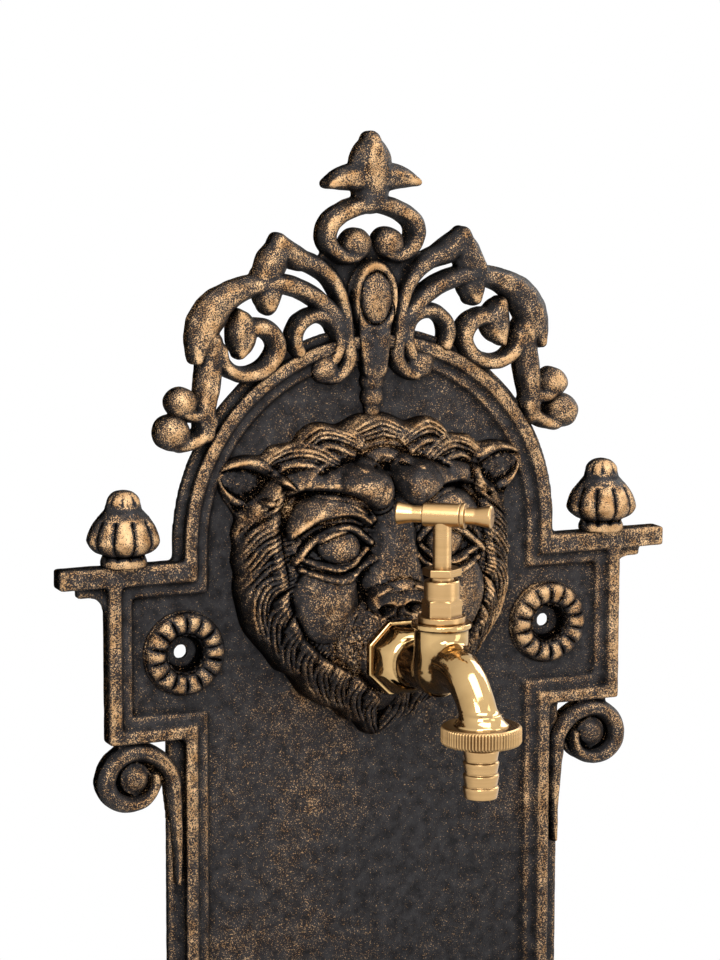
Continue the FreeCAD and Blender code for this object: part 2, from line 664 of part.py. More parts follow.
def sampled(rows, steps=5):
    # points along a smooth line through the given ones
    ends = [tuple(2 * a - b for a, b in zip(rows[0], rows[1]))] + rows
    ends.append(tuple(2 * a - b for a, b in zip(rows[-1], rows[-2])))
    line = []
    for first, a, b, last in zip(ends, ends[1:], ends[2:], ends[3:]):
        for step in range(steps):
            t = step / steps
            line.append(tuple(
                0.5 * (2 * a[n] + (b[n] - first[n]) * t
                       + (2 * first[n] - 5 * a[n] + 4 * b[n] - last[n]) * t ** 2
                       + (3 * a[n] - first[n] - 3 * b[n] + last[n]) * t ** 3)
                for n in range(3)))
    return line + [rows[-1]]


def nearness(x, z, line):
    # 1 on the line, falling to 0 at half its width
    best = 0
    for px, pz, width in line:
        away = math.hypot(x - px, z - pz) * 2 / width
        best = max(best, 1 - away ** 2)
    return best


def faceHeight(x, z, rolls, locks):
    # height of the face above the panel's field
    spread = (x / FACE_SPREAD[0]) ** 2 + ((z - FACE_MIDDLE) / FACE_SPREAD[1]) ** 2
    base = 8 + 27 * max(1 - spread, 0) ** 0.8
    outside = math.hypot(x / MANE_EDGE[0], (z - FACE_MIDDLE) / MANE_EDGE[1]) - 1
    ground = base - float(s.maneGap) * min(max(outside * 6, 0), 1)
    height = ground
    for across, up, wide, tall, rise in FACE_SWELLINGS.values():
        away = ((x - across) / wide) ** 2 + ((z - up) / tall) ** 2
        height += rise * max(1 - away, 0) ** 0.8
    for rise, line in rolls:
        height += rise * nearness(x, z, line) ** 0.7
    for rise, line in locks:
        near = nearness(x, z, line)
        if near > 0:
            height = max(height, ground + rise * near ** 0.5)
    return max(height, float(s.thinnest))


def maskSurface():
    # the face is worked out on its right half and mirrored
    gap = float(s.faceGrid)
    reach, top, bottom = 86, 120, -58
    rolls = [(rise, sampled(rows)) for rise, rows in FACE_ROLLS.values()]
    locks = [(rise, sampled(rows)) for rise, rows in MANE_LOCKS]
    field = float(s.fieldDepth)
    grid = []
    for column in range(int(reach / gap) + 1):
        x = (column + 0.5) * gap
        line = []
        for row in range(int((top - bottom) / gap) + 1):
            z = bottom + row * gap
            line.append(Vector(x, -field - faceHeight(x, z, rolls, locks), z))
        grid.append(line)
    left = [[Vector(-point.x, point.y, point.z) for point in line] for line in grid[::-1]]
    surface = Part.BSplineSurface()
    surface.interpolate(left + grid)
    return surface.toShape()


def lionMask():
    field, reach = float(s.fieldDepth), float(s.mouthReach)
    right = [Vector(x, -field, z) for x, z in MASK_OUTLINE]
    left = [Vector(-x, -field, z) for x, z in MASK_OUTLINE[::-1]]
    edges = []
    for side in (right, left):
        edges += [bow(*side[first:first + 3]) for first in range(0, len(side) - 2, 2)]
    shadow = Part.Face(Part.Wire(edges)).extrude(Vector(0, -90, 0))
    mask = shadow.common(maskSurface().extrude(Vector(0, 90, 0)))
    mouth = disc(0, float(s.mouthRise), s.mouthRadius, field, reach)
    cavity = Part.makeSphere(1)
    stretch = FreeCAD.Matrix()
    stretch.scale(float(s.cavityHalf), float(s.cavityDepth), float(s.cavityHeight))
    stretch.move(Vector(0, -field, float(s.maskRise) + 6))
    cavity = cavity.transformGeometry(stretch)
    seatBack = reach - float(s.maskWall)
    nutSeat = disc(0, float(s.mouthRise), s.nutSeatRadius, field, seatBack)
    inlet = disc(0, float(s.mouthRise), s.inletRadius + s.seatGap, field, reach)
    holes = []
    for side in (1, -1):
        for x, z in maskScrews(side):
            holes.append(disc(float(x), float(z), s.screwRadius, 0, s.screwLength))
    flangeRoom = disc(0, float(s.mouthRise), s.flangeSeat, reach, reach + 30)
    whole = mask.fuse(mouth).cut([cavity, nutSeat, inlet, flangeRoom] + holes)
    return feature("lion_mask", whole)


def rosette(name, side):
    # a sunk cup through the panel, with a ring of gadroons that lies on the field
    field, cup = s.fieldDepth, s.rosetteCup
    outer = cup + s.rosetteWall
    top = field + s.rosetteHeight
    body = newBody(name)
    section = newSketch(body, f"{name}Section", "XZ_Plane")
    corners = [(s.wallScrewHole / 2, 0), (outer, 0), (outer, field), (s.rosetteRadius, field),
               (s.rosetteRadius, field + 1), (cup, top - 2.5), (cup, s.cupFloor),
               (s.wallScrewHole / 2, s.cupFloor)]
    addOutline(section, corners, {4: (s.gadroonCurve, True)})
    revolve(body, section, f"{name}Ring")
    notch = newSketch(body, f"{name}Notch", "YZ_Plane")
    half = s.gadroonGap / 2
    addOutline(notch, [(-half, top + 1), (0, top - s.gadroonDepth), (half, top + 1)])
    cut = pocket(body, notch, s.rosetteRadius + 2, f"{name}Cut", reverse=True)
    doc.recompute()
    polarPattern(body, cut, s.gadroonCount, f"{name}Gadroons")
    return place(body, rosettePlace() * side, 0, 0, (1, 0, 0), 90)


def finial(name, side):
    # a lobed bulb under a round cap, on a stud, flat on the side of the wall
    foot, waist, neck, height = s.finialFoot, s.finialWaist, s.finialNeck, s.finialHeight
    bulb, capFoot, reach = s.finialBulbRise, height - s.finialCapHeight, s.finialBulb
    shoulder = (s.finialShoulder, s.finialShoulderRise)
    body = newBody(name)
    section = newSketch(body, f"{name}Section", "XZ_Plane")
    corners = [(0, -s.studLength), (s.studRadius, -s.studLength), (s.studRadius, 0), (foot, 0),
               (foot, 2.5), (waist, bulb - 6.5), (reach, bulb), shoulder,
               (neck, shoulder[1] + 5.5), (neck - 0.7, capFoot), (0, height)]
    arcs = {5: (9, True), 6: (22, True), 9: (s.finialCap, True)}
    addOutline(section, corners, arcs)
    revolve(body, section, f"{name}Turned")
    notch = newSketch(body, f"{name}Notch", "XY_Plane", bulb + 12)
    half = s.finialNotch / 2
    addOutline(notch, [(reach + 2, -half), (reach + 2, half), (reach - s.finialNotchDepth, 0)],
               {1: (s.finialNotch, False), 2: (s.finialNotch, False)})
    cut = pocket(body, notch, 20, f"{name}Cut")
    doc.recompute()
    polarPattern(body, cut, s.finialLobes, f"{name}Lobes")
    doc.recompute()
    flat = newSketch(body, f"{name}Flat", "XY_Plane")
    width, edge = s.finialBulb * 2, s.finialDepth - s.finialFlat
    addOutline(flat, [(-width, edge), (width, edge), (width, edge + width),
                      (-width, edge + width)])
    pocket(body, flat, None, f"{name}Back")
    return place(body, finialPlace() * side, -s.finialDepth, s.shoulderTop + s.corniceHeight)


# The volute's scroll and boss: centreline points and widths about the arch's centre, drawn
# beside a shaft whose flange ends at this distance, under a shoulder that ends at this level.
DRAWN_FLANGE = 107.5
DRAWN_SHOULDER = -95.5
VOLUTE_SCROLL = [(104, -168, 3), (104.2, -140, 6), (105.5, -121, 8), (109.5, -108, 8.5),
                 (120, -101.2, 9), (133, -102.5, 9), (140.3, -113.5, 9.5), (135.5, -124, 9),
                 (125.5, -126, 7.5), (117, -121, 6), (115.5, -113, 4.5)]
VOLUTE_BOSS = (125.5, -113.5, 7.8)


def volute(name, side, seat):
    # a scroll bracket under the shoulder, whose tail runs down the edge of the shaft
    back, edge, ridge = float(s.voluteBack), float(s.voluteEdge), float(s.voluteRidge)
    across = float(s.archRadius) + float(s.shaftFlange) - DRAWN_FLANGE
    up = float(s.shoulderBottom) - DRAWN_SHOULDER
    points = [(x + across, z + up) for x, z, width in VOLUTE_SCROLL]
    widths = [width for x, z, width in VOLUTE_SCROLL]
    shapes = scroll(points, widths, back, edge, ridge, float(s.ridgeShare))
    x, z, radius = VOLUTE_BOSS[0] + across, VOLUTE_BOSS[1] + up, VOLUTE_BOSS[2]
    shapes += [disc(x, z, 2 * radius, back, edge - 2), disc(x, z, radius, back, edge),
               bead(x, z, radius * 0.92, edge - 3)]
    stud = (float(s.volutePlace), -float(s.fieldDepth), float(s.shoulderBottom))
    neck = Vector(stud[0] - 8, -edge, stud[2] - 8)
    shapes.append(Part.makeBox(16, edge - back, 8, neck))
    peg = Part.makeCylinder(float(s.studRadius), float(s.studLength) + 4,
                            Vector(stud[0], stud[1], stud[2] - 4))
    whole = fused(shapes).cut(seat).fuse(peg).removeSplitter()
    if side < 0:
        whole = whole.mirror(Vector(), Vector(1, 0, 0))
    return feature(name, whole)


def loftBetween(body, first, second, name):
    loft = body.newObject("PartDesign::AdditiveLoft", name)
    loft.Profile = first
    loft.Sections = [second]
    loft.Ruled = True
    return loft


def spoutLine(body, name, start):
    # level out of the barrel, then a quarter bend down to the outlet
    sketch = newSketch(body, name, "YZ_Plane")
    level, bend, reach = s.spoutStart, s.spoutBend, s.spoutReach
    corner = (bend - reach, level)
    first = Vector(float(start), float(level), 0)
    second = Vector(float(corner[0]), float(level), 0)
    line = sketch.addGeometry(Part.LineSegment(first, second))
    circle = Part.Circle(second - Vector(0, float(bend), 0), Vector(0, 0, 1), float(bend))
    arc = sketch.addGeometry(Part.ArcOfCircle(circle, math.pi / 2, math.pi))
    pin(sketch, line, 1, (start, level))
    pin(sketch, line, 2, corner)
    sketch.addConstraint(Sketcher.Constraint("Coincident", line, 2, arc, 1))
    pin(sketch, arc, 2, (-reach, level - bend))
    rule = sketch.addConstraint(Sketcher.Constraint("Radius", arc, float(bend)))
    bind(sketch, f"Constraints[{rule}]", bend)
    return sketch


def spoutPipe(body, name, kind, radius, start):
    path = spoutLine(body, f"{name}Line", start)
    section = newSketch(body, f"{name}Section", "XZ_Plane", -start)
    addCircle(section, (0, s.spoutStart), radius)
    pipe = body.newObject(kind, name)
    pipe.Profile = section
    pipe.Spine = (path, ["Edge1", "Edge2"])
    return pipe


def roundPad(body, name, plane, offset, centre, radius, length, reverse=False):
    sketch = newSketch(body, f"{name}Outline", plane, offset)
    addCircle(sketch, centre, radius)
    return pad(body, sketch, length, name, reverse)


def tapBody():
    # the body's own origin is on the spindle's axis, level with the wall screws
    body = newBody("tap_body")
    wall = s.spindleReach - s.mouthReach
    collarFoot = s.barrelTop - s.collarHeight
    barrel = newSketch(body, "BarrelSection", "XZ_Plane")
    corners = [(0, s.barrelBottom), (s.barrelRadius - 7, s.barrelBottom),
               (s.barrelRadius, s.barrelBottom + 7), (s.barrelRadius, collarFoot - 1.4),
               (s.collarRadius, collarFoot), (s.collarRadius, s.barrelTop), (0, s.barrelTop)]
    addOutline(barrel, corners, {1: (7, True)})
    revolve(body, barrel, "Barrel")
    flange = newSketch(body, "FlangeOutline", "XZ_Plane", -wall)
    addPolygon(flange, 8, s.flangeFlats, (0, s.mouthRise))
    pad(body, flange, s.flangeThick, "Flange")
    domeFoot = newSketch(body, "DomeFoot", "XZ_Plane", s.flangeThick - wall)
    addPolygon(domeFoot, 8, s.flangeFlats - 1.6, (0, s.mouthRise))
    domeEnd = newSketch(body, "DomeEnd", "XZ_Plane", s.flangeThick + s.domeLength - wall)
    addPolygon(domeEnd, 8, s.domeFlats, (0, s.mouthRise))
    loftBetween(body, domeFoot, domeEnd, "Dome")
    roundPad(body, "Neck", "XZ_Plane", s.flangeThick - wall, (0, s.mouthRise), s.neckRadius,
             wall - s.flangeThick)
    roundPad(body, "InletTail", "XZ_Plane", -wall, (0, s.mouthRise), s.inletRadius,
             s.mouthReach - s.inletEnd, True)
    spoutPipe(body, "Spout", "PartDesign::AdditivePipe", s.spoutRadius, -s.waterway)
    outlet = (0, -s.spoutReach)
    roundPad(body, "OutletThread", "XY_Plane", s.outletTop - s.threadLength, outlet,
             s.outletRadius, s.threadLength)
    flareFoot = newSketch(body, "FlareFoot", "XY_Plane", s.outletTop)
    addCircle(flareFoot, outlet, s.outletRadius)
    flareTop = newSketch(body, "FlareTop", "XY_Plane", s.outletTop + s.flareHeight)
    addCircle(flareTop, outlet, s.spoutRadius)
    loftBetween(body, flareFoot, flareTop, "Flare")
    bore(body, "Chamber", s.chamberRadius, s.seatLevel, s.barrelTop)
    bore(body, "SeatWay", s.waterway, s.mouthRise, s.barrelTop)
    inlet = newSketch(body, "InletOutline", "XZ_Plane")
    addCircle(inlet, (0, s.mouthRise), s.waterway)
    pocket(body, inlet, s.spindleReach - s.inletEnd, "InletWay")
    spoutPipe(body, "SpoutWay", "PartDesign::SubtractivePipe", s.spoutWay,
              1.2 - s.chamberRadius)
    outletWay = newSketch(body, "OutletOutline", "XY_Plane", s.spoutStart - s.spoutBend)
    addCircle(outletWay, outlet, s.spoutWay)
    pocket(body, outletWay, s.threadLength, "OutletWay")
    return place(body, 0, -s.spindleReach, 0)


def onSpindle(body):
    return place(body, 0, -s.spindleReach, 0)


def bonnet():
    hexFoot = s.barrelTop + s.bonnetFlangeThick
    hexTop = hexFoot + s.bonnetHexHeight
    liftRoom = s.spindleShoulder + s.valveLift + 1.2
    skirt = s.chamberRadius - s.threadGap
    threadBore = s.spindleThread + s.seatGap
    shaftBore = s.spindleRadius + s.runningGap
    glandBore = s.glandThread + s.threadGap
    corners = [(threadBore, s.barrelTop - s.bonnetSkirt), (skirt, s.barrelTop - s.bonnetSkirt),
               (skirt, s.barrelTop), (s.bonnetFlange, s.barrelTop), (s.bonnetFlange, hexFoot),
               (s.bonnetBarrel - 0.6, hexFoot), (s.bonnetBarrel - 0.6, hexTop),
               (s.bonnetBarrel, hexTop + 0.4), (s.bonnetBarrel, s.bonnetTop - 0.8),
               (s.bonnetBarrel - 0.8, s.bonnetTop), (glandBore, s.bonnetTop),
               (glandBore, s.packingLevel), (shaftBore, s.packingLevel),
               (shaftBore, liftRoom), (threadBore, liftRoom)]
    body = turned("bonnet", corners)
    outline = newSketch(body, "BonnetHexOutline", "XY_Plane", hexFoot)
    addPolygon(outline, 6, s.bonnetHex)
    addCircle(outline, (0, 0), s.bonnetBarrel - 1.5)
    pad(body, outline, s.bonnetHexHeight, "BonnetHex")
    return onSpindle(body)


def glandPacking():
    shaftBore = s.spindleRadius + s.runningGap
    return onSpindle(ring("gland_packing", shaftBore, s.glandThread, s.packingLevel,
                          s.packingLevel + s.packingThick))


def glandNut():
    foot = s.packingLevel + s.packingThick
    body = newBody("gland_nut")
    hexPad(body, "GlandHex", s.glandHex, s.glandLevel, s.glandHeight)
    roundPad(body, "GlandShank", "XY_Plane", foot, (0, 0), s.glandThread, s.glandLevel - foot)
    bore(body, "GlandBore", s.spindleRadius + s.runningGap, foot, s.glandLevel + s.glandHeight)
    return onSpindle(body)


def spindle():
    stemBore = s.stemRadius + s.threadGap
    boreTop = s.spindleBottom + s.stemLength + 1
    corners = [(stemBore, s.spindleBottom), (s.spindleThread, s.spindleBottom),
               (s.spindleThread, s.spindleShoulder), (s.spindleRadius, s.spindleShoulder),
               (s.spindleRadius, s.spindleTop), (0, s.spindleTop), (0, boreTop),
               (stemBore, boreTop)]
    return onSpindle(turned("spindle", corners))


def jumperValve():
    # the loose valve's stem turns freely in the spindle
    foot = s.seatLevel + s.runningGap + s.washerThick
    top = foot + s.valveThick
    corners = [(0, foot - 2), (s.stemRadius, foot - 2), (s.stemRadius, foot),
               (s.valveRadius, foot), (s.valveRadius, top), (s.stemRadius, top),
               (s.stemRadius, top + s.stemLength), (0, top + s.stemLength)]
    return onSpindle(turned("jumper_valve", corners))


def valveWasher():
    foot = s.seatLevel + s.runningGap
    return onSpindle(ring("valve_washer", s.stemRadius, s.valveRadius, foot,
                          foot + s.washerThick))


def handleHub():
    half, drop = s.hubLength / 2, s.hubLevel - s.spindleTop
    radius, chamfer = s.hubRadius, 0.5
    corners = [(-half, 0), (-half, radius - chamfer), (chamfer - half, radius),
               (half - chamfer, radius), (half, radius - chamfer), (half, 0)]
    body = turned("handle_hub", corners, axis="H_Axis")
    bore(body, "SpindleHole", s.spindleRadius, -s.hubRadius - 1, -drop)
    for side in (1, -1):
        hole = newSketch(body, f"StudHole{side + 1}", "YZ_Plane", half * side)
        addCircle(hole, (0, 0), s.studRadius)
        pocket(body, hole, s.spindleRadius, f"StudBore{side + 1}", reverse=side < 0)
    return place(body, 0, -s.spindleReach, s.hubLevel, (0, 0, 1), -s.handleAngle)


def handleEnd(name, turn, ringLength):
    # a trumpet on a stud; the right one has a collar against the hub
    start = s.hubLength / 2
    collar = start + ringLength
    tip = collar + s.endLength
    corners = [(start - s.spindleRadius + 0.2, 0), (start - s.spindleRadius + 0.2, s.studRadius),
               (start, s.studRadius)]
    if float(ringLength) > 0:
        corners += [(start, s.ringRadius), (collar, s.ringRadius)]
    corners += [(collar, s.endInner), (collar + 5, s.endInner), (tip - 0.8, s.endOuter),
                (tip, s.endOuter - 0.8), (tip, 0)]
    body = turned(name, corners, axis="H_Axis")
    return place(body, 0, -s.spindleReach, s.hubLevel, (0, 0, 1), turn)


def atOutlet(body):
    return place(body, 0, -(s.spindleReach + s.spoutReach), 0)


def couplingNut():
    outletFoot = s.outletTop - s.threadLength
    flangeFoot = outletFoot - 2 * s.flangeWasher
    top = s.outletTop - s.nutGap
    foot = top - s.nutHeight
    threadBore = s.outletRadius + s.threadGap
    corners = [(s.tailRadius + 2 * s.seatGap, foot), (s.nutRadius - 1.5, foot),
               (s.nutRadius, foot + 1.2), (s.nutRadius, top - 1.2), (s.nutRadius - 1.5, top),
               (threadBore, top), (threadBore, flangeFoot),
               (s.tailRadius + 2 * s.seatGap, flangeFoot)]
    return atOutlet(turned("coupling_nut", corners))


def couplingWasher():
    outletFoot = s.outletTop - s.threadLength
    return atOutlet(ring("coupling_washer", s.tailBore, s.tailFlange,
                         outletFoot - s.flangeWasher, outletFoot))


def hoseTail():
    flangeTop = s.outletTop - s.threadLength - s.flangeWasher
    flangeFoot = flangeTop - s.flangeWasher
    foot = flangeFoot - s.tailLength
    corners = [(s.tailBore, flangeTop), (s.tailBore, foot), (s.tailRadius - s.barbDepth, foot)]
    for number in range(int(float(s.barbCount))):
        level = foot + s.barbPitch * number
        corners += [(s.tailRadius, level + s.barbPitch - 1.2),
                    (s.tailRadius, level + s.barbPitch - 0.6),
                    (s.tailRadius - s.barbDepth, level + s.barbPitch)]
    corners += [(s.tailRadius - s.barbDepth, flangeFoot), (s.tailFlange, flangeFoot),
                (s.tailFlange, flangeTop)]
    return atOutlet(turned("hose_tail", corners))


def atInlet(body, reach):
    # turned pieces on the tap's inlet look to the front from their own level behind the mask
    return place(body, 0, -reach, s.mouthRise, (1, 0, 0), 90)


def sealingWasher():
    return atInlet(ring("sealing_washer", s.inletRadius + s.seatGap, s.sealRadius,
                        -s.sealThick, 0), s.mouthReach - s.maskWall)


def backNut():
    body = newBody("back_nut")
    hexPad(body, "BackNutHex", s.backNutFlats, -s.backNutThick, s.backNutThick)
    bore(body, "BackNutBore", s.inletRadius, -s.backNutThick, 0)
    return atInlet(body, s.mouthReach - s.maskWall - s.sealThick)


def inletAdapter():
    # a hexagon socket on the tap's tail, with a male thread for the supply pipe in the wall
    body = newBody("inlet_adapter")
    reach = s.mouthReach - s.maskWall - s.sealThick - s.backNutThick - s.adapterGap
    hexPad(body, "AdapterHex", s.adapterFlats, -s.adapterHex, s.adapterHex)
    roundPad(body, "SupplyThread", "XY_Plane", s.wallGap - reach, (0, 0), s.inletRadius,
             reach - s.wallGap - s.adapterHex)
    bore(body, "TailSocket", s.inletRadius, -(reach - s.inletEnd), 0)
    bore(body, "SupplyWay", s.waterway + 2.5, s.wallGap - reach, 0)
    return atInlet(body, reach)


def bowlSection(body, name, offset, inset, half):
    # the bowl's outline from the foot to the rim, moved inwards by an inset
    wall = basinHalf() - inset
    foot, shoulder = s.basinBottom + inset, s.basinRim - s.bowlTop
    rise = [(s.basinFoot, foot), (wall, shoulder)]
    arcs = {1: (s.bowlRadius - inset, True)}
    if float(inset) == 0:
        lipFoot = s.basinRim - s.lipHeight
        rise += [(wall, lipFoot - 3), (wall + s.basinLip, lipFoot),
                 (wall + s.basinLip, s.basinRim)]
    else:
        rise.append((wall, s.basinRim + 1))
    sketch = newSketch(body, name, "XZ_Plane", offset)
    if half:
        corners = [(0, foot)] + rise + [(0, rise[-1][1])]
        addOutline(sketch, corners, arcs)
    else:
        corners = mirrored(rise)
        arcs = {0: arcs[1], 2 * len(rise) - 2: arcs[1]}
        addOutline(sketch, corners, arcs)
    return sketch


def basin():
    # half bowl on a flat back, hung on the panel's ribs; its own origin is the bowl's centre
    body = newBody("basin")
    outer = bowlSection(body, "BowlOutside", 0, 0, True)
    revolve(body, outer, "Bowl", 180, reverse=True)
    straight = bowlSection(body, "StraightOutside", -s.basinStraight, 0, False)
    pad(body, straight, s.basinStraight, "Straight")
    tab = newSketch(body, "TabOutline", "XZ_Plane", -s.basinStraight)
    middle = s.basinBottom + 20
    addOutline(tab, [(s.tabHalf, s.tabBottom), (s.tabHalf, middle), (-s.tabHalf, middle),
                     (-s.tabHalf, s.tabBottom)])
    pad(body, tab, s.backWall, "Tab")
    bosses = newSketch(body, "BossOutlines", "XZ_Plane", -s.basinStraight)
    for side in (1, -1):
        for x, z in basinBolts(side):
            addCircle(bosses, (x, z), s.boltBoss)
    pad(body, bosses, s.panelDepth - s.fieldDepth, "Bosses", reverse=True)
    doc.recompute()
    inner = bowlSection(body, "BowlInside", 0, s.basinWall, True)
    revolve(body, inner, "BowlHollow", 180, "PartDesign::Groove", reverse=True)
    hollow = bowlSection(body, "StraightInside", 0, s.basinWall, False)
    pocket(body, hollow, s.basinStraight - s.backWall, "StraightHollow")
    holes = newSketch(body, "BoltHoles", "XZ_Plane", -(s.basinStraight + s.panelDepth))
    for side in (1, -1):
        for x, z in basinBolts(side):
            addCircle(holes, (x, z), s.boltRadius + s.seatGap)
    pocket(body, holes, s.panelDepth + s.backWall + 1, "BoltWays", reverse=True)
    bore(body, "DrainWay", s.drainHole, s.basinBottom - 1, s.basinBottom + s.basinWall + 1)
    return place(body, 0, -(s.panelDepth + s.basinStraight), 0)


def screw(name, x, z, radius, head, length):
    # a flat head in the recess behind the panel, with its shank to the front
    body = turned(name, [(0, 0.1), (head, 0.1), (head, s.backRecess),
                         (radius, s.backRecess), (radius, length), (0, length)])
    return place(body, x, 0, z, (1, 0, 0), 90)


def screws():
    for side, hand in ((1, "right"), (-1, "left")):
        for (x, z), level in zip(maskScrews(side), ("upper", "lower")):
            screw(f"mask_screw_{level}_{hand}", x, z, s.screwRadius, s.screwHead,
                  s.screwLength)
        for x, z in crestScrews(side):
            screw(f"crest_screw_{hand}", x, z, s.screwRadius, s.screwHead, s.screwLength)
        for (x, z), level in zip(basinBolts(side), ("upper", "lower")):
            screw(f"basin_bolt_{level}_{hand}", x, z, s.boltRadius, s.boltHead, s.boltLength)
            nut = newBody(f"basin_nut_{level}_{hand}")
            start = s.panelDepth + s.backWall
            hexPad(nut, f"Nut{level}{hand}", s.nutFlats, start, s.nutThick)
            bore(nut, f"NutBore{level}{hand}", s.boltRadius, start, start + s.nutThick)
            place(nut, x, 0, z, (1, 0, 0), 90)


def atDrain(body):
    return place(body, 0, -(s.panelDepth + s.basinStraight), s.basinBottom)


def drainFittings():
    top = s.basinWall + s.flangeHeight
    foot = -s.drainLength
    corners = [(0, top - s.strainerThick), (s.drainBore, top - s.strainerThick),
               (s.drainBore, foot), (s.drainThread, foot), (s.drainThread, s.basinWall),
               (s.drainFlange, s.basinWall), (s.drainFlange, top - 1),
               (s.drainFlange - 1.4, top), (0, top)]
    strainer = turned("drain_strainer", corners)
    hole = newSketch(strainer, "StrainerHole", "XY_Plane", top)
    addCircle(hole, (s.strainerRing, 0), s.strainerHole)
    cut = pocket(strainer, hole, s.strainerThick, "StrainerCut")
    doc.recompute()
    polarPattern(strainer, cut, s.strainerHoles, "StrainerHoles")
    gasket = ring("drain_gasket", s.drainThread, s.drainFlange, -s.gasketThick, 0)
    nut = newBody("drain_locknut")
    hexPad(nut, "LockNutHex", s.lockNutFlats, -(s.gasketThick + s.lockNutThick),
           s.lockNutThick)
    bore(nut, "LockNutBore", s.drainThread, -(s.gasketThick + s.lockNutThick),
         -s.gasketThick)
    socketTop = foot + s.socketLength - 1
    tail = turned("drain_tail", [
        (s.drainBore, foot - 0.2), (s.drainBore, foot - s.drainTailLength),
        (s.drainTail, foot - s.drainTailLength), (s.drainTail, foot - 3), (s.tailSocket, foot),
        (s.tailSocket, socketTop), (s.drainThread, socketTop), (s.drainThread, foot - 0.2)])
    for piece in (strainer, gasket, nut, tail):
        atDrain(piece)


def headwork():
    for make in (bonnet, glandPacking, glandNut, spindle, jumperValve, valveWasher, handleHub):
        make()
    handleEnd("handle_end_right", -s.handleAngle, s.collarRing)
    handleEnd("handle_end_left", 180 - s.handleAngle, 0)


def plumbing():
    for make in (tapBody, couplingNut, couplingWasher, hoseTail, sealingWasher, backNut,
                 inletAdapter):
        make()


def checkAll():
    failed = [item.Name for item in doc.Objects
              if "Invalid" in item.State or "Error" in item.State]
    for name, thing in parts.items():
        shape = thing.Shape
        if shape.isNull() or not shape.isValid() or len(shape.Solids) != 1:
            failed.append(name)
    if failed:
        raise RuntimeError("failed: " + ", ".join(failed))


def exportAll():
    os.makedirs("parts", exist_ok=True)
    for name, thing in parts.items():
        thing.Shape.exportStep(f"parts/{name}.step")


panelFront = backPanel()
doc.recompute()
seat = panelFront.Shape
crest(seat)
lionMask()
for hand, side in (("right", 1), ("left", -1)):
    rosette(f"rosette_{hand}", side)
    finial(f"finial_{hand}", side)
    volute(f"volute_{hand}", side, seat)
plumbing()
headwork()
basin()
screws()
drainFittings()
doc.recompute()
checkAll()
exportAll()
print(len(parts), "pieces")
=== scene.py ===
import json
import math

import bpy
import numpy as np
from mathutils import Matrix, Vector, noise


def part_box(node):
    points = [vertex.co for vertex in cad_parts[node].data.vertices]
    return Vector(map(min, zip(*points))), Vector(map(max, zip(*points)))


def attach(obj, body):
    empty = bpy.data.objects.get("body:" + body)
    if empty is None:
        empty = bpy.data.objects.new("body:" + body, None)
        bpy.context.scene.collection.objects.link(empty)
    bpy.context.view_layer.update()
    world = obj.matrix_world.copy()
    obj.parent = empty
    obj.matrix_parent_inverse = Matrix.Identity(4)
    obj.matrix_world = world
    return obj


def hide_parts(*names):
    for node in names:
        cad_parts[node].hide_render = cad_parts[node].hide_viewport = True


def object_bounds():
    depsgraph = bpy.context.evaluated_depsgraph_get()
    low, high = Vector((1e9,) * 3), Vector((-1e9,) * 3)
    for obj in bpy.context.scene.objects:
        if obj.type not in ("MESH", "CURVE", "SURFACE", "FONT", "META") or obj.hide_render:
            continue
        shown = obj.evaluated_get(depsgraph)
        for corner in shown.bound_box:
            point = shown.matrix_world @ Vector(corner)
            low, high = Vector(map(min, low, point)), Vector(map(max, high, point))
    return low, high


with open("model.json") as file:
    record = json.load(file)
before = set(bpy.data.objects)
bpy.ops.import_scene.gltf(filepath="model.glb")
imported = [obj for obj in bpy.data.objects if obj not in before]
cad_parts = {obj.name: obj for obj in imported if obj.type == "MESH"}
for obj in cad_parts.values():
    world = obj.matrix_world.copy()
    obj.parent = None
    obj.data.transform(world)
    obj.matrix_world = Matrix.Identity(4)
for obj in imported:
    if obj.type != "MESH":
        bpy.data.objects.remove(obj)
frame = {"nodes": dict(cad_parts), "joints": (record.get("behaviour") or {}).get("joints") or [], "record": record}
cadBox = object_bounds()
bodyOf = {node: body for body, nodes in frame["record"]["behaviour"]["bodies"].items()
          for node in nodes}
slotOf = {entry["node"]: entry["material_slot"] for entry in frame["record"]["subparts"]}
axisOf = {joint["name"]: joint["pos_m"] for joint in frame["joints"] if "pos_m" in joint}

# the pieces are written in mm, with y = 0 at the wall and z = 0 level with the wall screws
mm = 0.001
fieldFront = 6.0  # the panel's field stands this far before the wall
spindleAxis = axisOf["handle_turn"][1] / mm
outletAxis = axisOf["nut_turn"][1] / mm


def newObject(name, mesh):
    piece = bpy.data.objects.new(name, mesh)
    bpy.context.collection.objects.link(piece)
    return piece


def meshFrom(name, points, faces):
    mesh = bpy.data.meshes.new(name)
    mesh.from_pydata(np.asarray(points).tolist(), [], faces)
    mesh.update()
    return mesh


def readPoints(mesh, kind="co"):
    values = np.empty(len(mesh.vertices) * 3)
    mesh.vertices.foreach_get(kind, values)
    return values.reshape(-1, 3)


def readNormals(mesh):
    return readPoints(mesh, "normal")


def writePoints(mesh, points):
    mesh.vertices.foreach_set("co", np.ascontiguousarray(points, dtype=np.float64).ravel())
    mesh.update()


def readEdges(mesh):
    edges = np.empty(len(mesh.edges) * 2, dtype=np.int32)
    mesh.edges.foreach_get("vertices", edges)
    return edges.reshape(-1, 2)


def readAttribute(mesh, name):
    values = np.empty(len(mesh.vertices), dtype=np.float32)
    mesh.attributes[name].data.foreach_get("value", values)
    return values


def setAttribute(mesh, name, values):
    layer = mesh.attributes.get(name) or mesh.attributes.new(name, "FLOAT", "POINT")
    layer.data.foreach_set("value", np.clip(values, 0, 1).astype(np.float32))


def nodeBox(node):
    # the low and high corners of a CAD node, in mm
    return [np.array(corner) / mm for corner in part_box(node)]


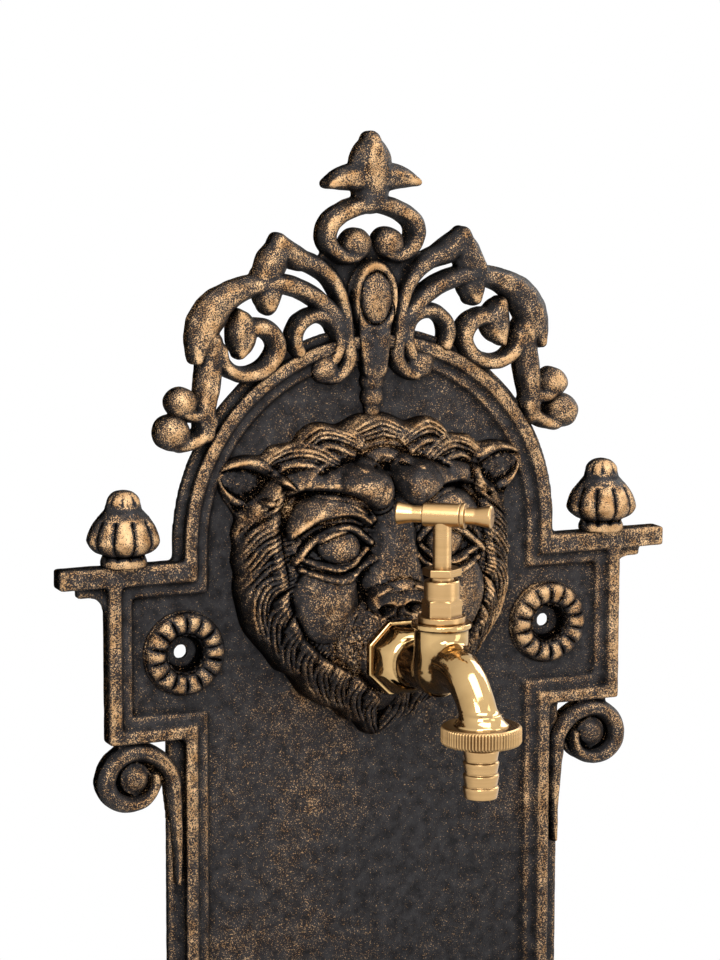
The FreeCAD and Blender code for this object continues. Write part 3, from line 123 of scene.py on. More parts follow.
def relax(values, edges, count, rounds):
    # averages values over the neighbours, again and again
    degree = np.bincount(edges.ravel(), minlength=count).astype(float)
    degree[degree == 0] = 1
    for _ in range(rounds):
        total = np.empty_like(values)
        for axis in range(values.shape[1]):
            column = values[:, axis]
            total[:, axis] = (np.bincount(edges[:, 0], column[edges[:, 1]], count)
                              + np.bincount(edges[:, 1], column[edges[:, 0]], count))
        values = 0.5 * values + 0.5 * total / degree[:, None]
    return values


def smoothShade(mesh):
    mesh.polygons.foreach_set("use_smooth", np.ones(len(mesh.polygons), dtype=bool))
    mesh.update()


def evaluated(piece):
    # applies the piece's modifiers
    graph = bpy.context.evaluated_depsgraph_get()
    mesh = bpy.data.meshes.new_from_object(piece.evaluated_get(graph))
    old = piece.data
    piece.modifiers.clear()
    piece.data = mesh
    bpy.data.meshes.remove(old)
    return mesh


def uneven(mesh, amount, waveSize=6.0):
    # the slow waviness of a sand casting
    points, normals = readPoints(mesh), readNormals(mesh)
    shift = np.array([noise.noise(Vector(point) / (waveSize * mm)) for point in points])
    writePoints(mesh, points + normals * (shift * amount * mm)[:, None])


def standFor(piece, node, material):
    # the piece is shown in its CAD node's place and rides on the node's body
    piece.data.materials.clear()
    piece.data.materials.append(material)
    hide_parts(node)
    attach(piece, bodyOf[node])
    print("made", node, len(piece.data.polygons), "faces")


def recast(node, look, material, carve=None):
    # a remeshed copy of a CAD node with its edges rounded as a casting's are
    piece = newObject(f"{node}_skin", frame["nodes"][node].data.copy())
    remesh = piece.modifiers.new("remesh", "REMESH")
    remesh.mode = "VOXEL"
    remesh.voxel_size = look["voxel"] * mm
    mesh = evaluated(piece)
    points = readPoints(mesh)
    writePoints(mesh, relax(points, readEdges(mesh), len(points), look["rounds"]))
    if "swell" in look:
        writePoints(mesh, readPoints(mesh) + readNormals(mesh) * look["swell"] * mm)
    if carve is not None:
        carve(mesh, node)
    if "waviness" in look:
        uneven(mesh, look["waviness"])
    if "keep" in look:
        thin = piece.modifiers.new("thin", "DECIMATE")
        thin.ratio = look["keep"]
        mesh = evaluated(piece)
    smoothShade(mesh)
    markWearAndShade(mesh, **look["wearAndShade"])
    standFor(piece, node, material)
    return mesh


wearAndShade = {  # how the rubbed powder and the dark mask follow a casting's form: painted shade in the iron's hollows and on every face turned from the front, oxide in the brass hollows
    "front": 1.15, "side": 0.1, "up": 0.15, "crown": 0.8, "crownPower": 0.8, "edge": 0.3,
    "nearShadeAndOxide": 0.6, "farShadeAndOxide": 1.3, "turned": 1.4, "wallShade": 0.6, "blur": 2}


def markWearAndShade(mesh, fine, coarse, fineRounds=10, coarseRounds=70, powder=1.0, recessShade=1.0):
    # rub is high on crowns that face the front; hollow is high where the surface sinks and on faces turned from
    # the front, and there it is painted shade, though in the brass hollows it stands for oxide
    points, normals, edges = readPoints(mesh), readNormals(mesh), readEdges(mesh)
    near = relax(points, edges, len(points), fineRounds)
    far = relax(near, edges, len(points), coarseRounds)
    proudNear = np.einsum("ij,ij->i", points - near, normals) / (fine * mm)
    proudFar = np.einsum("ij,ij->i", points - far, normals) / (coarse * mm)
    facing = np.clip(-normals[:, 1] * wearAndShade["front"] - wearAndShade["side"] * normals[:, 0]
                     + wearAndShade["up"] * normals[:, 2], 0, 1) ** 2
    crown = np.clip(proudFar, 0, 1) ** wearAndShade["crownPower"] * wearAndShade["crown"]
    edge = np.clip(proudNear, 0, 1) * wearAndShade["edge"]
    rub = ((crown + edge) * facing * powder)[:, None]
    hollow = (-proudNear * wearAndShade["nearShadeAndOxide"] - proudFar * wearAndShade["farShadeAndOxide"]) * recessShade
    wall = np.clip(1 + normals[:, 1] * wearAndShade["turned"], 0, 1)  # turns away from the front; such faces get painted shade
    hollow = np.clip(np.maximum(hollow, wearAndShade["wallShade"] * wall), 0, 1)[:, None]
    for name, values in (("rub", rub), ("hollow", hollow)):
        setAttribute(mesh, name, relax(values, edges, len(points), wearAndShade["blur"])[:, 0])


def rubPads(mesh, pads, dim=1.0):
    # powder also lies on broad swellings: middle, size and amount of each
    points = readPoints(mesh) / mm
    broad = np.zeros(len(points))
    for middle, size, amount in pads:
        broad = np.maximum(broad, pad(np.abs(points[:, 0]), points[:, 2], middle, size, amount,
                                      power=0.6))
    facing = np.clip(-readNormals(mesh)[:, 1] * wearAndShade["front"], 0, 1) ** 2
    setAttribute(mesh, "rub", np.maximum(readAttribute(mesh, "rub") * dim, broad * facing))


camera = {"place": (-0.6937, -1.5647, 0.3587), "yaw": 23.84, "pitch": -9.29, "roll": 0.18,
          "lens": 173.45, "sensor": 36}  # metres, degrees and mm


def addCamera():
    yaw, pitch, roll = (math.radians(camera[key]) for key in ("yaw", "pitch", "roll"))
    forward = Vector((math.sin(yaw) * math.cos(pitch), math.cos(yaw) * math.cos(pitch),
                      math.sin(pitch)))
    right = Vector((math.cos(yaw), -math.sin(yaw), 0))
    up = right.cross(forward)
    side = right * math.cos(roll) + up * math.sin(roll)
    top = up * math.cos(roll) - right * math.sin(roll)
    data = bpy.data.cameras.new("camera")
    data.sensor_fit = "HORIZONTAL"
    data.sensor_width = camera["sensor"]
    data.lens = camera["lens"]
    eye = newObject("camera", data)
    turn = Matrix((side, top, -forward)).transposed().to_4x4()
    eye.matrix_world = Matrix.Translation(camera["place"]) @ turn
    bpy.context.scene.camera = eye


studio = {
    "lamps": {  # place, target, size and power, in metres and watts
        "keyLight": ((-1.0, -1.65, 1.25), (0, -0.03, 0.05), (0.9, 1.1), 27),
        "fillLight": ((1.5, -1.4, 0.4), (0, -0.03, 0.0), (0.8, 1.8), 7.5),
        "topLight": ((0.1, -0.7, 1.6), (0, -0.05, 0.0), (1.2, 0.8), 13),
        "rimLight": ((1.3, 0.5, 0.9), (0, -0.03, 0.05), (0.5, 1.0), 7)},
    "world": 0.38, "floorDrop": 0.006, "floorReach": 6.0, "floorGrey": 0.86,
    "floorRoughness": 0.9, "floorFade": (0.55, 0.95)}


def addLamp(name, place, target, size, power):
    data = bpy.data.lights.new(name, "AREA")
    data.shape = "RECTANGLE"
    data.size, data.size_y = size
    data.energy = power
    lamp = newObject(name, data)
    lamp.location = place
    lamp.rotation_euler = (Vector(target) - Vector(place)).to_track_quat("-Z", "Y").to_euler()


def addStudio():
    bpy.context.scene.view_settings.view_transform = "Standard"
    for name, values in studio["lamps"].items():
        addLamp(name, *values)
    world = bpy.data.worlds.new("studio")
    bpy.context.scene.world = world
    world.use_nodes = True
    tree = world.node_tree
    background = tree.nodes["Background"]
    background.inputs["Color"].default_value = (1, 1, 1, 1)
    paths = tree.nodes.new("ShaderNodeLightPath")
    seen = addMaths(tree, "MAXIMUM", paths.outputs["Is Camera Ray"], paths.outputs["Is Glossy Ray"])
    seen = addMaths(tree, "MAXIMUM", seen, paths.outputs["Is Transmission Ray"])
    # the background is seen white, and lights the object less than that
    feed(tree, background.inputs["Strength"], addRange(tree, seen, 0, 1, studio["world"], 1))


def addFloor():
    level, reach = cadBox[0].z - studio["floorDrop"], studio["floorReach"]
    corners = [(-reach, -reach, level), (reach, -reach, level), (reach, reach, level),
               (-reach, reach, level)]
    floor = newObject("floor", meshFrom("floor", corners, [(0, 1, 2, 3)]))
    floor.data.materials.append(paleFloor())


def paleFloor():
    # plain and pale near the object, where it takes the shadow, and white further off
    material, tree, shader, place = newMaterial("paleFloor")
    feed(tree, shader.inputs["Base Color"], (studio["floorGrey"],) * 3)
    feed(tree, shader.inputs["Roughness"], studio["floorRoughness"])
    away = tree.nodes.new("ShaderNodeVectorMath")
    away.operation = "LENGTH"
    feed(tree, away.inputs[0], place)
    far = addRange(tree, away.outputs["Value"], *studio["floorFade"])
    paths = tree.nodes.new("ShaderNodeLightPath")
    seen = addMaths(tree, "MAXIMUM", paths.outputs["Is Camera Ray"], paths.outputs["Is Glossy Ray"])
    white = tree.nodes.new("ShaderNodeEmission")
    feed(tree, white.inputs["Strength"], 1)
    blend = tree.nodes.new("ShaderNodeMixShader")
    for slot, value in zip(blend.inputs, (addMaths(tree, "MULTIPLY", seen, far), shader.outputs[0],
                                          white.outputs[0])):
        feed(tree, slot, value)
    feed(tree, tree.nodes["Material Output"].inputs["Surface"], blend.outputs[0])
    return material


def feed(tree, slot, value):
    # links another node's output to the socket, or sets a number or a colour on it
    if isinstance(value, bpy.types.NodeSocket):
        tree.links.new(value, slot)
    elif isinstance(value, tuple):
        slot.default_value = (*value, 1)
    else:
        slot.default_value = value


def addMaths(tree, kind, first, second):
    node = tree.nodes.new("ShaderNodeMath")
    node.operation = kind
    feed(tree, node.inputs[0], first)
    feed(tree, node.inputs[1], second)
    return node.outputs[0]


def addNoise(tree, scale, detail, place, roughness=0.55):
    texture = tree.nodes.new("ShaderNodeTexNoise")
    for slot, value in (("Scale", scale), ("Detail", detail), ("Roughness", roughness),
                        ("Vector", place)):
        feed(tree, texture.inputs[slot], value)
    return texture.outputs["Fac"]


def addRange(tree, value, low, high, toLow=0.0, toHigh=1.0, smooth=False):
    node = tree.nodes.new("ShaderNodeMapRange")
    if smooth:
        node.interpolation_type = "SMOOTHSTEP"
    for slot, number in (("Value", value), ("From Min", low), ("From Max", high),
                         ("To Min", toLow), ("To Max", toHigh)):
        feed(tree, node.inputs[slot], number)
    return node.outputs["Result"]


def addMix(tree, share, first, second):
    node = tree.nodes.new("ShaderNodeMix")
    node.data_type = "RGBA"
    for slot, value in ((0, share), (6, first), (7, second)):  # factor and the two colours
        feed(tree, node.inputs[slot], value)
    return node.outputs[2]


def addBump(tree, shader, height, strength, distance):
    bump = tree.nodes.new("ShaderNodeBump")
    feed(tree, bump.inputs["Strength"], strength)
    feed(tree, bump.inputs["Distance"], distance)
    feed(tree, bump.inputs["Height"], height)
    feed(tree, shader.inputs["Normal"], bump.outputs["Normal"])


def addAttribute(tree, name):
    node = tree.nodes.new("ShaderNodeAttribute")
    node.attribute_name = name
    return node.outputs["Fac"]


def newMaterial(name):
    material = bpy.data.materials.new(name)
    material.use_nodes = True
    tree = material.node_tree
    place = tree.nodes.new("ShaderNodeTexCoord").outputs["Object"]
    return material, tree, tree.nodes["Principled BSDF"], place


def newGroup(name, inputs, outputs):
    group = bpy.data.node_groups.new(name, "ShaderNodeTree")
    for label, kind, value in inputs:
        socket = group.interface.new_socket(label, in_out="INPUT", socket_type=kind)
        socket.default_value = value
    for label, kind in outputs:
        group.interface.new_socket(label, in_out="OUTPUT", socket_type=kind)
    return group, group.nodes.new("NodeGroupInput").outputs, group.nodes.new("NodeGroupOutput")


def useGroup(tree, group, **values):
    node = tree.nodes.new("ShaderNodeGroup")
    node.node_tree = group
    for label, value in values.items():
        feed(tree, node.inputs[label], value)
    return node.outputs


noiseBand = (0.3, 0.7)  # nearly all of a noise lies in this band
rubbedPowder = {  # sizes are noise scales, and the pairs what their noise turns the amount by
    "patchSize": 95, "patch": (0.62, 1.28), "broadSize": 22, "broad": (0.8, 1.15),
    "dustSize": 9, "dustBand": (0.42, 0.66), "dust": (0.6, 2.6), "most": 1.15,
    "threshold": (0.685, 0.37), "grainEdge": (-0.01, 0.035), "film": (0.12, 0.75)}


def stippleGroup():
    # metal powder rubbed over a cast skin: grains that thicken with the wear
    group, given, sink = newGroup(
        "stippledRub",
        [("Vector", "NodeSocketVector", (0, 0, 0)), ("Rub", "NodeSocketFloat", 0.0),
         ("Grain", "NodeSocketFloat", 900.0), ("Dust", "NodeSocketFloat", 0.06)],
        [("Mask", "NodeSocketFloat"), ("Film", "NodeSocketFloat"), ("Height", "NodeSocketFloat")])
    look, place = rubbedPowder, given["Vector"]
    fine = addNoise(group, given["Grain"], 3, place, 0.7)
    patch = addNoise(group, look["patchSize"], 3, place, 0.6)
    broad = addNoise(group, look["broadSize"], 2, place)
    dusty = addRange(group, addNoise(group, look["dustSize"], 2, place), *look["dustBand"],
                     *look["dust"])
    amount = addMaths(group, "ADD", given["Rub"],
                      addMaths(group, "MULTIPLY", dusty, given["Dust"]))
    amount = addMaths(group, "MULTIPLY", amount, addRange(group, patch, *noiseBand, *look["patch"]))
    amount = addMaths(group, "MULTIPLY", amount, addRange(group, broad, *noiseBand, *look["broad"]))
    threshold = addRange(group, amount, 0, look["most"], *look["threshold"])
    above = addMaths(group, "SUBTRACT", fine, threshold)
    feed(group, sink.inputs["Mask"], addRange(group, above, *look["grainEdge"], smooth=True))
    feed(group, sink.inputs["Film"], addRange(group, amount, *look["film"], smooth=True))
    feed(group, sink.inputs["Height"], fine)
    return group


def recessGroup():
    # a tint that darkens by the hollow mask: painted shade in iron, and in brass oxide in the hollows with painted
    # shade on faces turned from the front
    group, given, sink = newGroup(
        "darkRecess",
        [("Hollow", "NodeSocketFloat", 0.0), ("Full", "NodeSocketFloat", 0.75),
         ("Most", "NodeSocketFloat", 0.9), ("Tint", "NodeSocketColor", (1, 1, 1, 1)),
         ("Dark", "NodeSocketColor", (0, 0, 0, 1))],
        [("Tint", "NodeSocketColor"), ("Sunk", "NodeSocketFloat")])
    start = 0.05  # shallower hollows are not darkened
    sunk = addRange(group, given["Hollow"], start, given["Full"], 0, given["Most"])
    feed(group, sink.inputs["Tint"], addMix(group, sunk, given["Tint"], given["Dark"]))
    feed(group, sink.inputs["Sunk"], sunk)
    return group


latheMarks = {"stretch": (0.02, 0.02, 1), "streakSize": 400}  # the noise is drawn out sideways


def turnedGroup():
    # fine rings left by a lathe about an upright axis, with a few deeper ones
    group, given, sink = newGroup(
        "latheRings",
        [("Vector", "NodeSocketVector", (0, 0, 0)), ("Pitch", "NodeSocketFloat", 2600.0)],
        [("Height", "NodeSocketFloat"), ("Streak", "NodeSocketFloat")])
    stretch = group.nodes.new("ShaderNodeVectorMath")
    stretch.operation = "MULTIPLY"
    stretch.inputs[1].default_value = latheMarks["stretch"]
    feed(group, stretch.inputs[0], given["Vector"])
    along = stretch.outputs[0]
    feed(group, sink.inputs["Height"], addNoise(group, given["Pitch"], 2, along, 0.7))
    feed(group, sink.inputs["Streak"], addNoise(group, latheMarks["streakSize"], 2, along))
    return group


# the near-black colour of the dark mask is painted shade, for the recesses and the faces turned from the front
ironLook = {"charcoal": (0.013, 0.012, 0.013), "charcoalPale": (0.050, 0.047, 0.049),
            "recessShade": (0.0012, 0.0012, 0.0013), "brown": (0.085, 0.042, 0.020),
            "gold": (0.50, 0.27, 0.112), "goldPale": (0.91, 0.60, 0.32), "grain": 1550.0,
            "dust": 0.125, "film": 0.2, "metal": 0.55, "gloss": 0.4, "glossTint": (0.3, 0.3, 0.3),
            "mottleSize": 160, "mottle": (0.35, 0.68), "shadeFull": 0.6, "shadeMost": 1.0,
            "roughness": (0.42, 0.55), "roughMottle": (-0.05, 0.08), "mottleHeight": 1.6,
            "bump": (0.7, 0.0006)}


def bronzedIron(stipple, recess):
    look = ironLook
    material, tree, shader, place = newMaterial("bronzedIron")
    feed(tree, shader.inputs["Specular IOR Level"], look["gloss"])
    feed(tree, shader.inputs["Specular Tint"], look["glossTint"])
    hollow = addAttribute(tree, "hollow")
    grains = useGroup(tree, stipple, Vector=place, Rub=addAttribute(tree, "rub"),
                      Grain=look["grain"], Dust=look["dust"])
    mottle = addNoise(tree, look["mottleSize"], 4, place, 0.6)
    mottled = addRange(tree, mottle, *look["mottle"])
    iron = addMix(tree, mottled, look["charcoal"], look["charcoalPale"])
    # painted shade: the hollow mask darkens the iron to near black in recesses and on faces turned from the front
    shaded = useGroup(tree, recess, Hollow=hollow, Full=look["shadeFull"], Most=look["shadeMost"],
                     Tint=iron, Dark=look["recessShade"])
    film = addMaths(tree, "MULTIPLY", grains["Film"], look["film"])
    base = addMix(tree, film, shaded["Tint"], look["brown"])
    gold = addMix(tree, mottled, look["gold"], look["goldPale"])
    feed(tree, shader.inputs["Base Color"], addMix(tree, grains["Mask"], base, gold))
    metal = addMaths(tree, "MULTIPLY", grains["Mask"], look["metal"])
    # painted shade also turns those places metallic, so their near-black colour darkens the reflections there too
    feed(tree, shader.inputs["Metallic"], addMaths(tree, "MAXIMUM", metal, shaded["Sunk"]))
    rough = addRange(tree, hollow, 0, look["shadeFull"], *look["roughness"])
    mottledRough = addRange(tree, mottle, *noiseBand, *look["roughMottle"])
    feed(tree, shader.inputs["Roughness"], addMaths(tree, "ADD", rough, mottledRough))
    raised = addMaths(tree, "MULTIPLY", mottle, look["mottleHeight"])
    addBump(tree, shader, addMaths(tree, "ADD", grains["Height"], raised), *look["bump"])
    return material


brassLook = {"tarnishAndReflection": (0.42, 0.25, 0.09), "oxideAndShade": (0.07, 0.032, 0.010), "oxideAndShadeFull": 0.75,
             "oxideAndShadeMost": 0.9}
polishLook = {"tone": (0.72, 0.48, 0.215), "cloudSize": 60, "cloud": (0.45, 0.8, 0, 0.5),
              "roughness": (0.06, 0.13), "rippleSize": 110, "bump": (0.2, 0.0008)}
turnedLook = {"tone": (0.67, 0.425, 0.195), "pitch": 2600.0, "streak": (0.35, 0.75, 0, 0.4),
              "roughness": (0.24, 0.36), "bump": (0.35, 0.0001)}


def brassTone(tree, shader, recess, tone, tarnishAndReflectionShare):
    # the metal's own colour, clouded by tarnish, which on the polished body also paints in darker reflections; the
    # hollow mask adds brown oxide in the corners that polish misses, and painted shade on faces turned from the
    # front
    shader.inputs["Metallic"].default_value = 1
    tint = addMix(tree, tarnishAndReflectionShare, tone, brassLook["tarnishAndReflection"])
    darkened = useGroup(tree, recess, Hollow=addAttribute(tree, "hollow"), Tint=tint,
                      Full=brassLook["oxideAndShadeFull"], Most=brassLook["oxideAndShadeMost"],
                      Dark=brassLook["oxideAndShade"])
    feed(tree, shader.inputs["Base Color"], darkened["Tint"])


def polishedBrass(recess):
    look = polishLook
    material, tree, shader, place = newMaterial("polishedBrass")
    # the cloud paints tarnish, and on this polished body also stands in as painted darker reflections
    cloud = addNoise(tree, look["cloudSize"], 4, place)
    brassTone(tree, shader, recess, look["tone"], addRange(tree, cloud, *look["cloud"]))
    feed(tree, shader.inputs["Roughness"], addRange(tree, cloud, *noiseBand, *look["roughness"]))
    addBump(tree, shader, addNoise(tree, look["rippleSize"], 2, place), *look["bump"])
    return material


def turnedBrass(recess, rings):
    look = turnedLook
    material, tree, shader, place = newMaterial("turnedBrass")
    lathe = useGroup(tree, rings, Vector=place, Pitch=look["pitch"])
    streak = lathe["Streak"]
    brassTone(tree, shader, recess, look["tone"], addRange(tree, streak, *look["streak"]))
    feed(tree, shader.inputs["Roughness"], addRange(tree, streak, *noiseBand, *look["roughness"]))
    addBump(tree, shader, lathe["Height"], *look["bump"])
    return material


rubberLook = {"dark": (0.012, 0.012, 0.013), "pale": (0.03, 0.03, 0.03), "speckSize": 700,
              "roughness": 0.7, "bump": (0.2, 0.0001)}
zincLook = {"dark": (0.42, 0.42, 0.43), "pale": (0.66, 0.66, 0.67), "spangleSize": 420,
            "roughness": (0.3, 0.48)}


def blackRubber():
    look = rubberLook
    material, tree, shader, place = newMaterial("blackRubber")
    speck = addNoise(tree, look["speckSize"], 3, place)
    feed(tree, shader.inputs["Base Color"], addMix(tree, speck, look["dark"], look["pale"]))
    feed(tree, shader.inputs["Roughness"], look["roughness"])
    addBump(tree, shader, speck, *look["bump"])
    return material


def zincSteel():
    look = zincLook
    material, tree, shader, place = newMaterial("zincSteel")
    spangle = addNoise(tree, look["spangleSize"], 3, place)
    feed(tree, shader.inputs["Base Color"], addMix(tree, spangle, look["dark"], look["pale"]))
    feed(tree, shader.inputs["Metallic"], 1)
    feed(tree, shader.inputs["Roughness"], addRange(tree, spangle, *noiseBand, *look["roughness"]))
    return material


def spline(path, steps=10):
    # a smooth line through given points
    points = [np.array(point, dtype=float) for point in path]
    ends = [2 * points[0] - points[1]] + points + [2 * points[-1] - points[-2]]
    line = []
    for first, a, b, last in zip(ends, ends[1:], ends[2:], ends[3:]):
        for step in range(steps):
            t = step / steps
            line.append(0.5 * (2 * a + (b - first) * t + (2 * first - 5 * a + 4 * b - last) * t ** 2
                               + (3 * a - first - 3 * b + last) * t ** 3))
    line.append(points[-1])
    return np.array(line)


def alongPath(x, z, path):
    # distance across the line (signed) and share of the way along it
    line = spline(path)
    steps = np.diff(line, axis=0)
    lengths = np.hypot(steps[:, 0], steps[:, 1])
    before = np.concatenate([[0], np.cumsum(lengths)])
    best = np.full(x.shape, 1e9)
    side = np.zeros(x.shape)
    share = np.zeros(x.shape)
    for (ax, az), (dx, dz), length, start in zip(line, steps, lengths, before):
        t = np.clip(((x - ax) * dx + (z - az) * dz) / length ** 2, 0, 1)
        ox, oz = x - ax - t * dx, z - az - t * dz
        away = np.hypot(ox, oz)
        nearer = away < best
        best = np.where(nearer, away, best)
        side = np.where(nearer, away * np.sign(dx * oz - dz * ox), side)
        share = np.where(nearer, (start + t * length) / before[-1], share)
    return side, share


def groove(x, z, path, width, depth):
    # a soft furrow that gets shallow at its ends
    side, share = alongPath(x, z, path)
    fadeLength, endDepth, moreDepth, spread = 0.12, 0.35, 0.65, 0.42
    fade = np.clip(share / fadeLength, 0, 1) * np.clip((1 - share) / fadeLength, 0, 1)
    deep = endDepth + moreDepth * np.sqrt(fade)
    return depth * np.exp(-(side / (spread * width)) ** 2) * deep


def pad(x, z, middle, size, height, tilt=0.0, power=1.0):
    # an oval swelling
    angle = math.radians(tilt)
    u = ((x - middle[0]) * math.cos(angle) + (z - middle[1]) * math.sin(angle)) / size[0]
    v = ((z - middle[1]) * math.cos(angle) - (x - middle[0]) * math.sin(angle)) / size[1]
    return height * np.clip(1 - u ** 2 - v ** 2, 0, 1) ** power


def roll(x, z, height, path, fullness=0.7):
    # a rounded roll whose width changes along its line
    line = spline(path, 8)
    near = np.zeros(x.shape)
    for (ax, az, wide), (bx, bz, widen) in zip(line, line[1:]):
        dx, dz = bx - ax, bz - az
        t = np.clip(((x - ax) * dx + (z - az) * dz) / (dx * dx + dz * dz), 0, 1)
        away = np.hypot(x - ax - t * dx, z - az - t * dz)
        near = np.maximum(near, 1 - (2 * away / (wide + t * (widen - wide))) ** 2)
    return height * np.clip(near, 0, 1) ** fullness


lion = {  # places are (across, level); what stands on one side is mirrored to the other
    "middle": 32.0, "halfWidth": 76.0, "halfHeight": 82.0, "rimHeight": 8, "dome": 27,
    "angles": 1000, "rings": 165, "backRings": 20, "rimRound": 4.5,
    "mouth": (0.0, -2.3), "mouthFlat": 38.0, "mouthRadius": 17.0, "lipBlend": 3, "lipReach": 34,
    "lipRise": 1.5, "cavity": (54.0, 24.0, 58.0),  # half its width, its depth, half its height
    "cavityMiddle": 26.0,
    "faceOval": (53, 55), "maneGap": 6.0, "gapSteep": 6, "maneFade": 4, "leastHeight": 3,
    "bristleShare": (0.25, 0.75),  # everywhere, and more on the muzzle
    "warp": (15, 1.1), "bristle": (2.1, 2.6), "grain": (2.2, 0.25),  # size of the noise, amount
    "muzzle": ((17, 3), (17, 18)), "wearAndShade": {"fine": 0.14, "coarse": 1.3, "fineRounds": 6,
                                            "coarseRounds": 60, "recessShade": 0.62},
    "outline": [  # right half of the mane's outline, from the chin to the top
        (0, -50), (5, -48), (10, -42), (16, -40), (22, -34), (28, -32), (35, -28),
        (40, -24), (46, -15), (52, -12), (58, -4), (64, 3), (69, 10), (72, 20), (74, 30),
        (73.5, 38), (75, 44), (74, 52), (75, 58), (73, 65), (76, 71), (80, 77),
        (82.5, 85), (81, 91), (75, 95), (67, 96.5), (59, 96), (54, 100), (47, 101),
        (42, 102), (39, 106), (33, 110), (26, 110.5), (19, 109), (14, 111), (8, 113.5),
        (0, 114)],
    "locks": [  # path, width, rise, strands
        ([(47, 79), (58, 73), (69, 65), (75, 56)], 12, 7, 5),
        ([(47, 69), (60, 62), (70, 53), (75, 45)], 13, 8, 5),
        ([(48, 59), (61, 52), (70, 42), (74, 33)], 13, 8, 5),
        ([(49, 49), (62, 42), (70, 32), (72, 22)], 12, 7, 5),
        ([(50, 41), (63, 34), (67, 20), (62, 3)], 15, 9, 6),
        ([(48, 30), (59, 18), (59, 3), (51, -10)], 13, 8, 5),
        ([(43, 19), (53, 6), (51, -8), (43, -18)], 12, 8.5, 5),
        ([(38, 11), (46, -2), (43, -15), (34, -28)], 13, 8.5, 5),
        ([(30, 4), (38, -9), (34, -22), (25, -34)], 12, 8, 5),
        ([(22, -2), (29, -14), (25, -28), (16, -40)], 12, 8.5, 5),
        ([(13, -8), (20, -22), (16, -34), (8, -44)], 12, 8.5, 4),
        ([(5, -18), (9, -31), (6, -41), (0, -49.5)], 12, 7, 4),
        ([(24, 91), (33, 97), (44, 98.5), (54, 94), (59, 89)], 13, 6, 5),
        ([(30, 88), (38, 91.5), (47, 91), (53, 87)], 8, 5, 2),
        ([(10, 101), (20, 107.5), (32, 108), (41, 101), (44, 96)], 15, 6.5, 6),
        ([(15, 95), (24, 99.5), (33, 99), (38, 94)], 8, 4.5, 2),
        ([(14, 105), (0, 109.5), (-14, 105)], 16, 6.5, 6)],
    "faceEdge": [  # level, across
        (-34, -9), (-28, 1), (-20, 9), (-13, 17), (-8, 26), (-2, 36), (7, 45), (24, 52.5),
        (41, 54), (55, 54.5), (70, 53.5), (78, 50), (84, 44), (85.5, -9)],
    "rolls": [  # height, then points with their widths: brow, lids, nose, ear and forehead
        (8, [(12.5, 83, 24), (23, 85.5, 22), (34, 84.5, 17), (46, 82.5, 12), (55, 80, 9),
             (60, 74, 7)]),
        (5, [(14, 65.5, 8), (22, 70, 12.5), (33, 71, 14), (43, 68, 12.5), (51, 60, 8)]),
        (3.6, [(51, 46, 3.6), (45, 51.5, 4.2), (38.5, 56.5, 4.6), (30.5, 60.8, 4.8),
               (22, 61.4, 4.4), (13, 54.5, 3.6)]),
        (3.0, [(47, 47, 3), (39.5, 44.2, 3.6), (30, 42.6, 3.8), (21.5, 44.4, 3.6), (14.5, 51, 3)]),
        (2.2, [(48, 42, 3), (39, 38.8, 3.6), (30, 37.4, 3.8), (20.5, 39.4, 3.6), (12, 47, 3)]),
        (4.2, [(0, 76, 24), (0, 62, 30), (0, 46, 34), (0, 32, 34)]),
        (5, [(-10, 27.5, 11), (0, 29.5, 14), (10, 27.5, 11)]),
        (3, [(8, 33, 3), (13.5, 30, 4), (14, 24, 4), (10, 19.5, 3)]),
        (6.5, [(84, 88.5, 3), (77, 93, 6), (68, 94, 8), (59, 90.5, 8), (53, 85.5, 5.5),
               (49, 81, 2)]),
        (4, [(83, 87, 3), (79.5, 80, 4), (73, 74, 5), (66, 71.5, 5), (59, 74, 4)]),
        (2.2, [(-19, 97, 4), (0, 101.5, 5.5), (19, 97, 4)]),
        (2.2, [(-16, 91, 4), (0, 95.5, 5.5), (16, 91, 4)])],
    "grooves": [  # path, width, depth
        ([(50, 74), (43, 77.5), (34, 78.5), (25.5, 77.5), (18.5, 74), (13, 68), (10.5, 60)], 5, 4.5),
        ([(52, 54), (45, 60), (37, 64.5), (29, 66.6), (21, 66.4), (14, 62)], 2.6, 3.0),
        ([(51, 83), (54.5, 70), (55, 55), (54.6, 41), (53, 24), (46, 7), (36, -2), (25, -8)],
         4.4, 6),
        ([(12, 60), (13.5, 50), (16.5, 38), (20, 27), (23, 14)], 9.5, 4.6),
        ([(0, 92), (0, 84), (0, 74)], 7, 5), ([(0, 22), (0, 14)], 3, 2.8),
        ([(36, 87), (22, 92.5), (10, 91.5), (0, 88)], 3.4, 3.2),
        ([(45, 42), (31, 40), (20, 42), (13, 49)], 1.8, 1.4),
        ([(16, -12), (22, -16), (28, -12)], 4, 3)],
    "pads": [  # middle, size, height, tilt, power
        ((29, 54), (21, 15), -4, 0, 0.9), ((28.5, 52.4), (10.8, 8.6), 6.8, 6, 0.6),
        ((12.5, 81), (14.5, 13), 7, 0, 0.7),
        ((36, 25), (17, 20), 7, 8, 0.7), ((7.8, 21.5), (5.4, 3.6), -6.5, -12, 0.7),
        ((16, 4), (15, 17), 5.5, 0, 0.7), ((0, -25), (15, 10), 4, 0, 0.8),
        ((68, 82.5), (13, 7.5), -5, 12, 0.6)],
    "rubbed": [  # middle, size, amount
        ((36, 25), (16, 20), 0.3), ((28.5, 52.4), (11, 8.6), 0.55), ((14, 82), (17, 13), 0.6),
        ((36, 69), (18, 8), 0.55), ((17, 4), (18, 19), 0.30), ((0, 50), (10, 30), 0.25),
        ((0, 98), (26, 9), 0.45), ((66, 35), (12, 40), 0.2)],
    "dullBelow": ((-30, 25), (0.45, 1))}  # between these levels the powder thins to that share


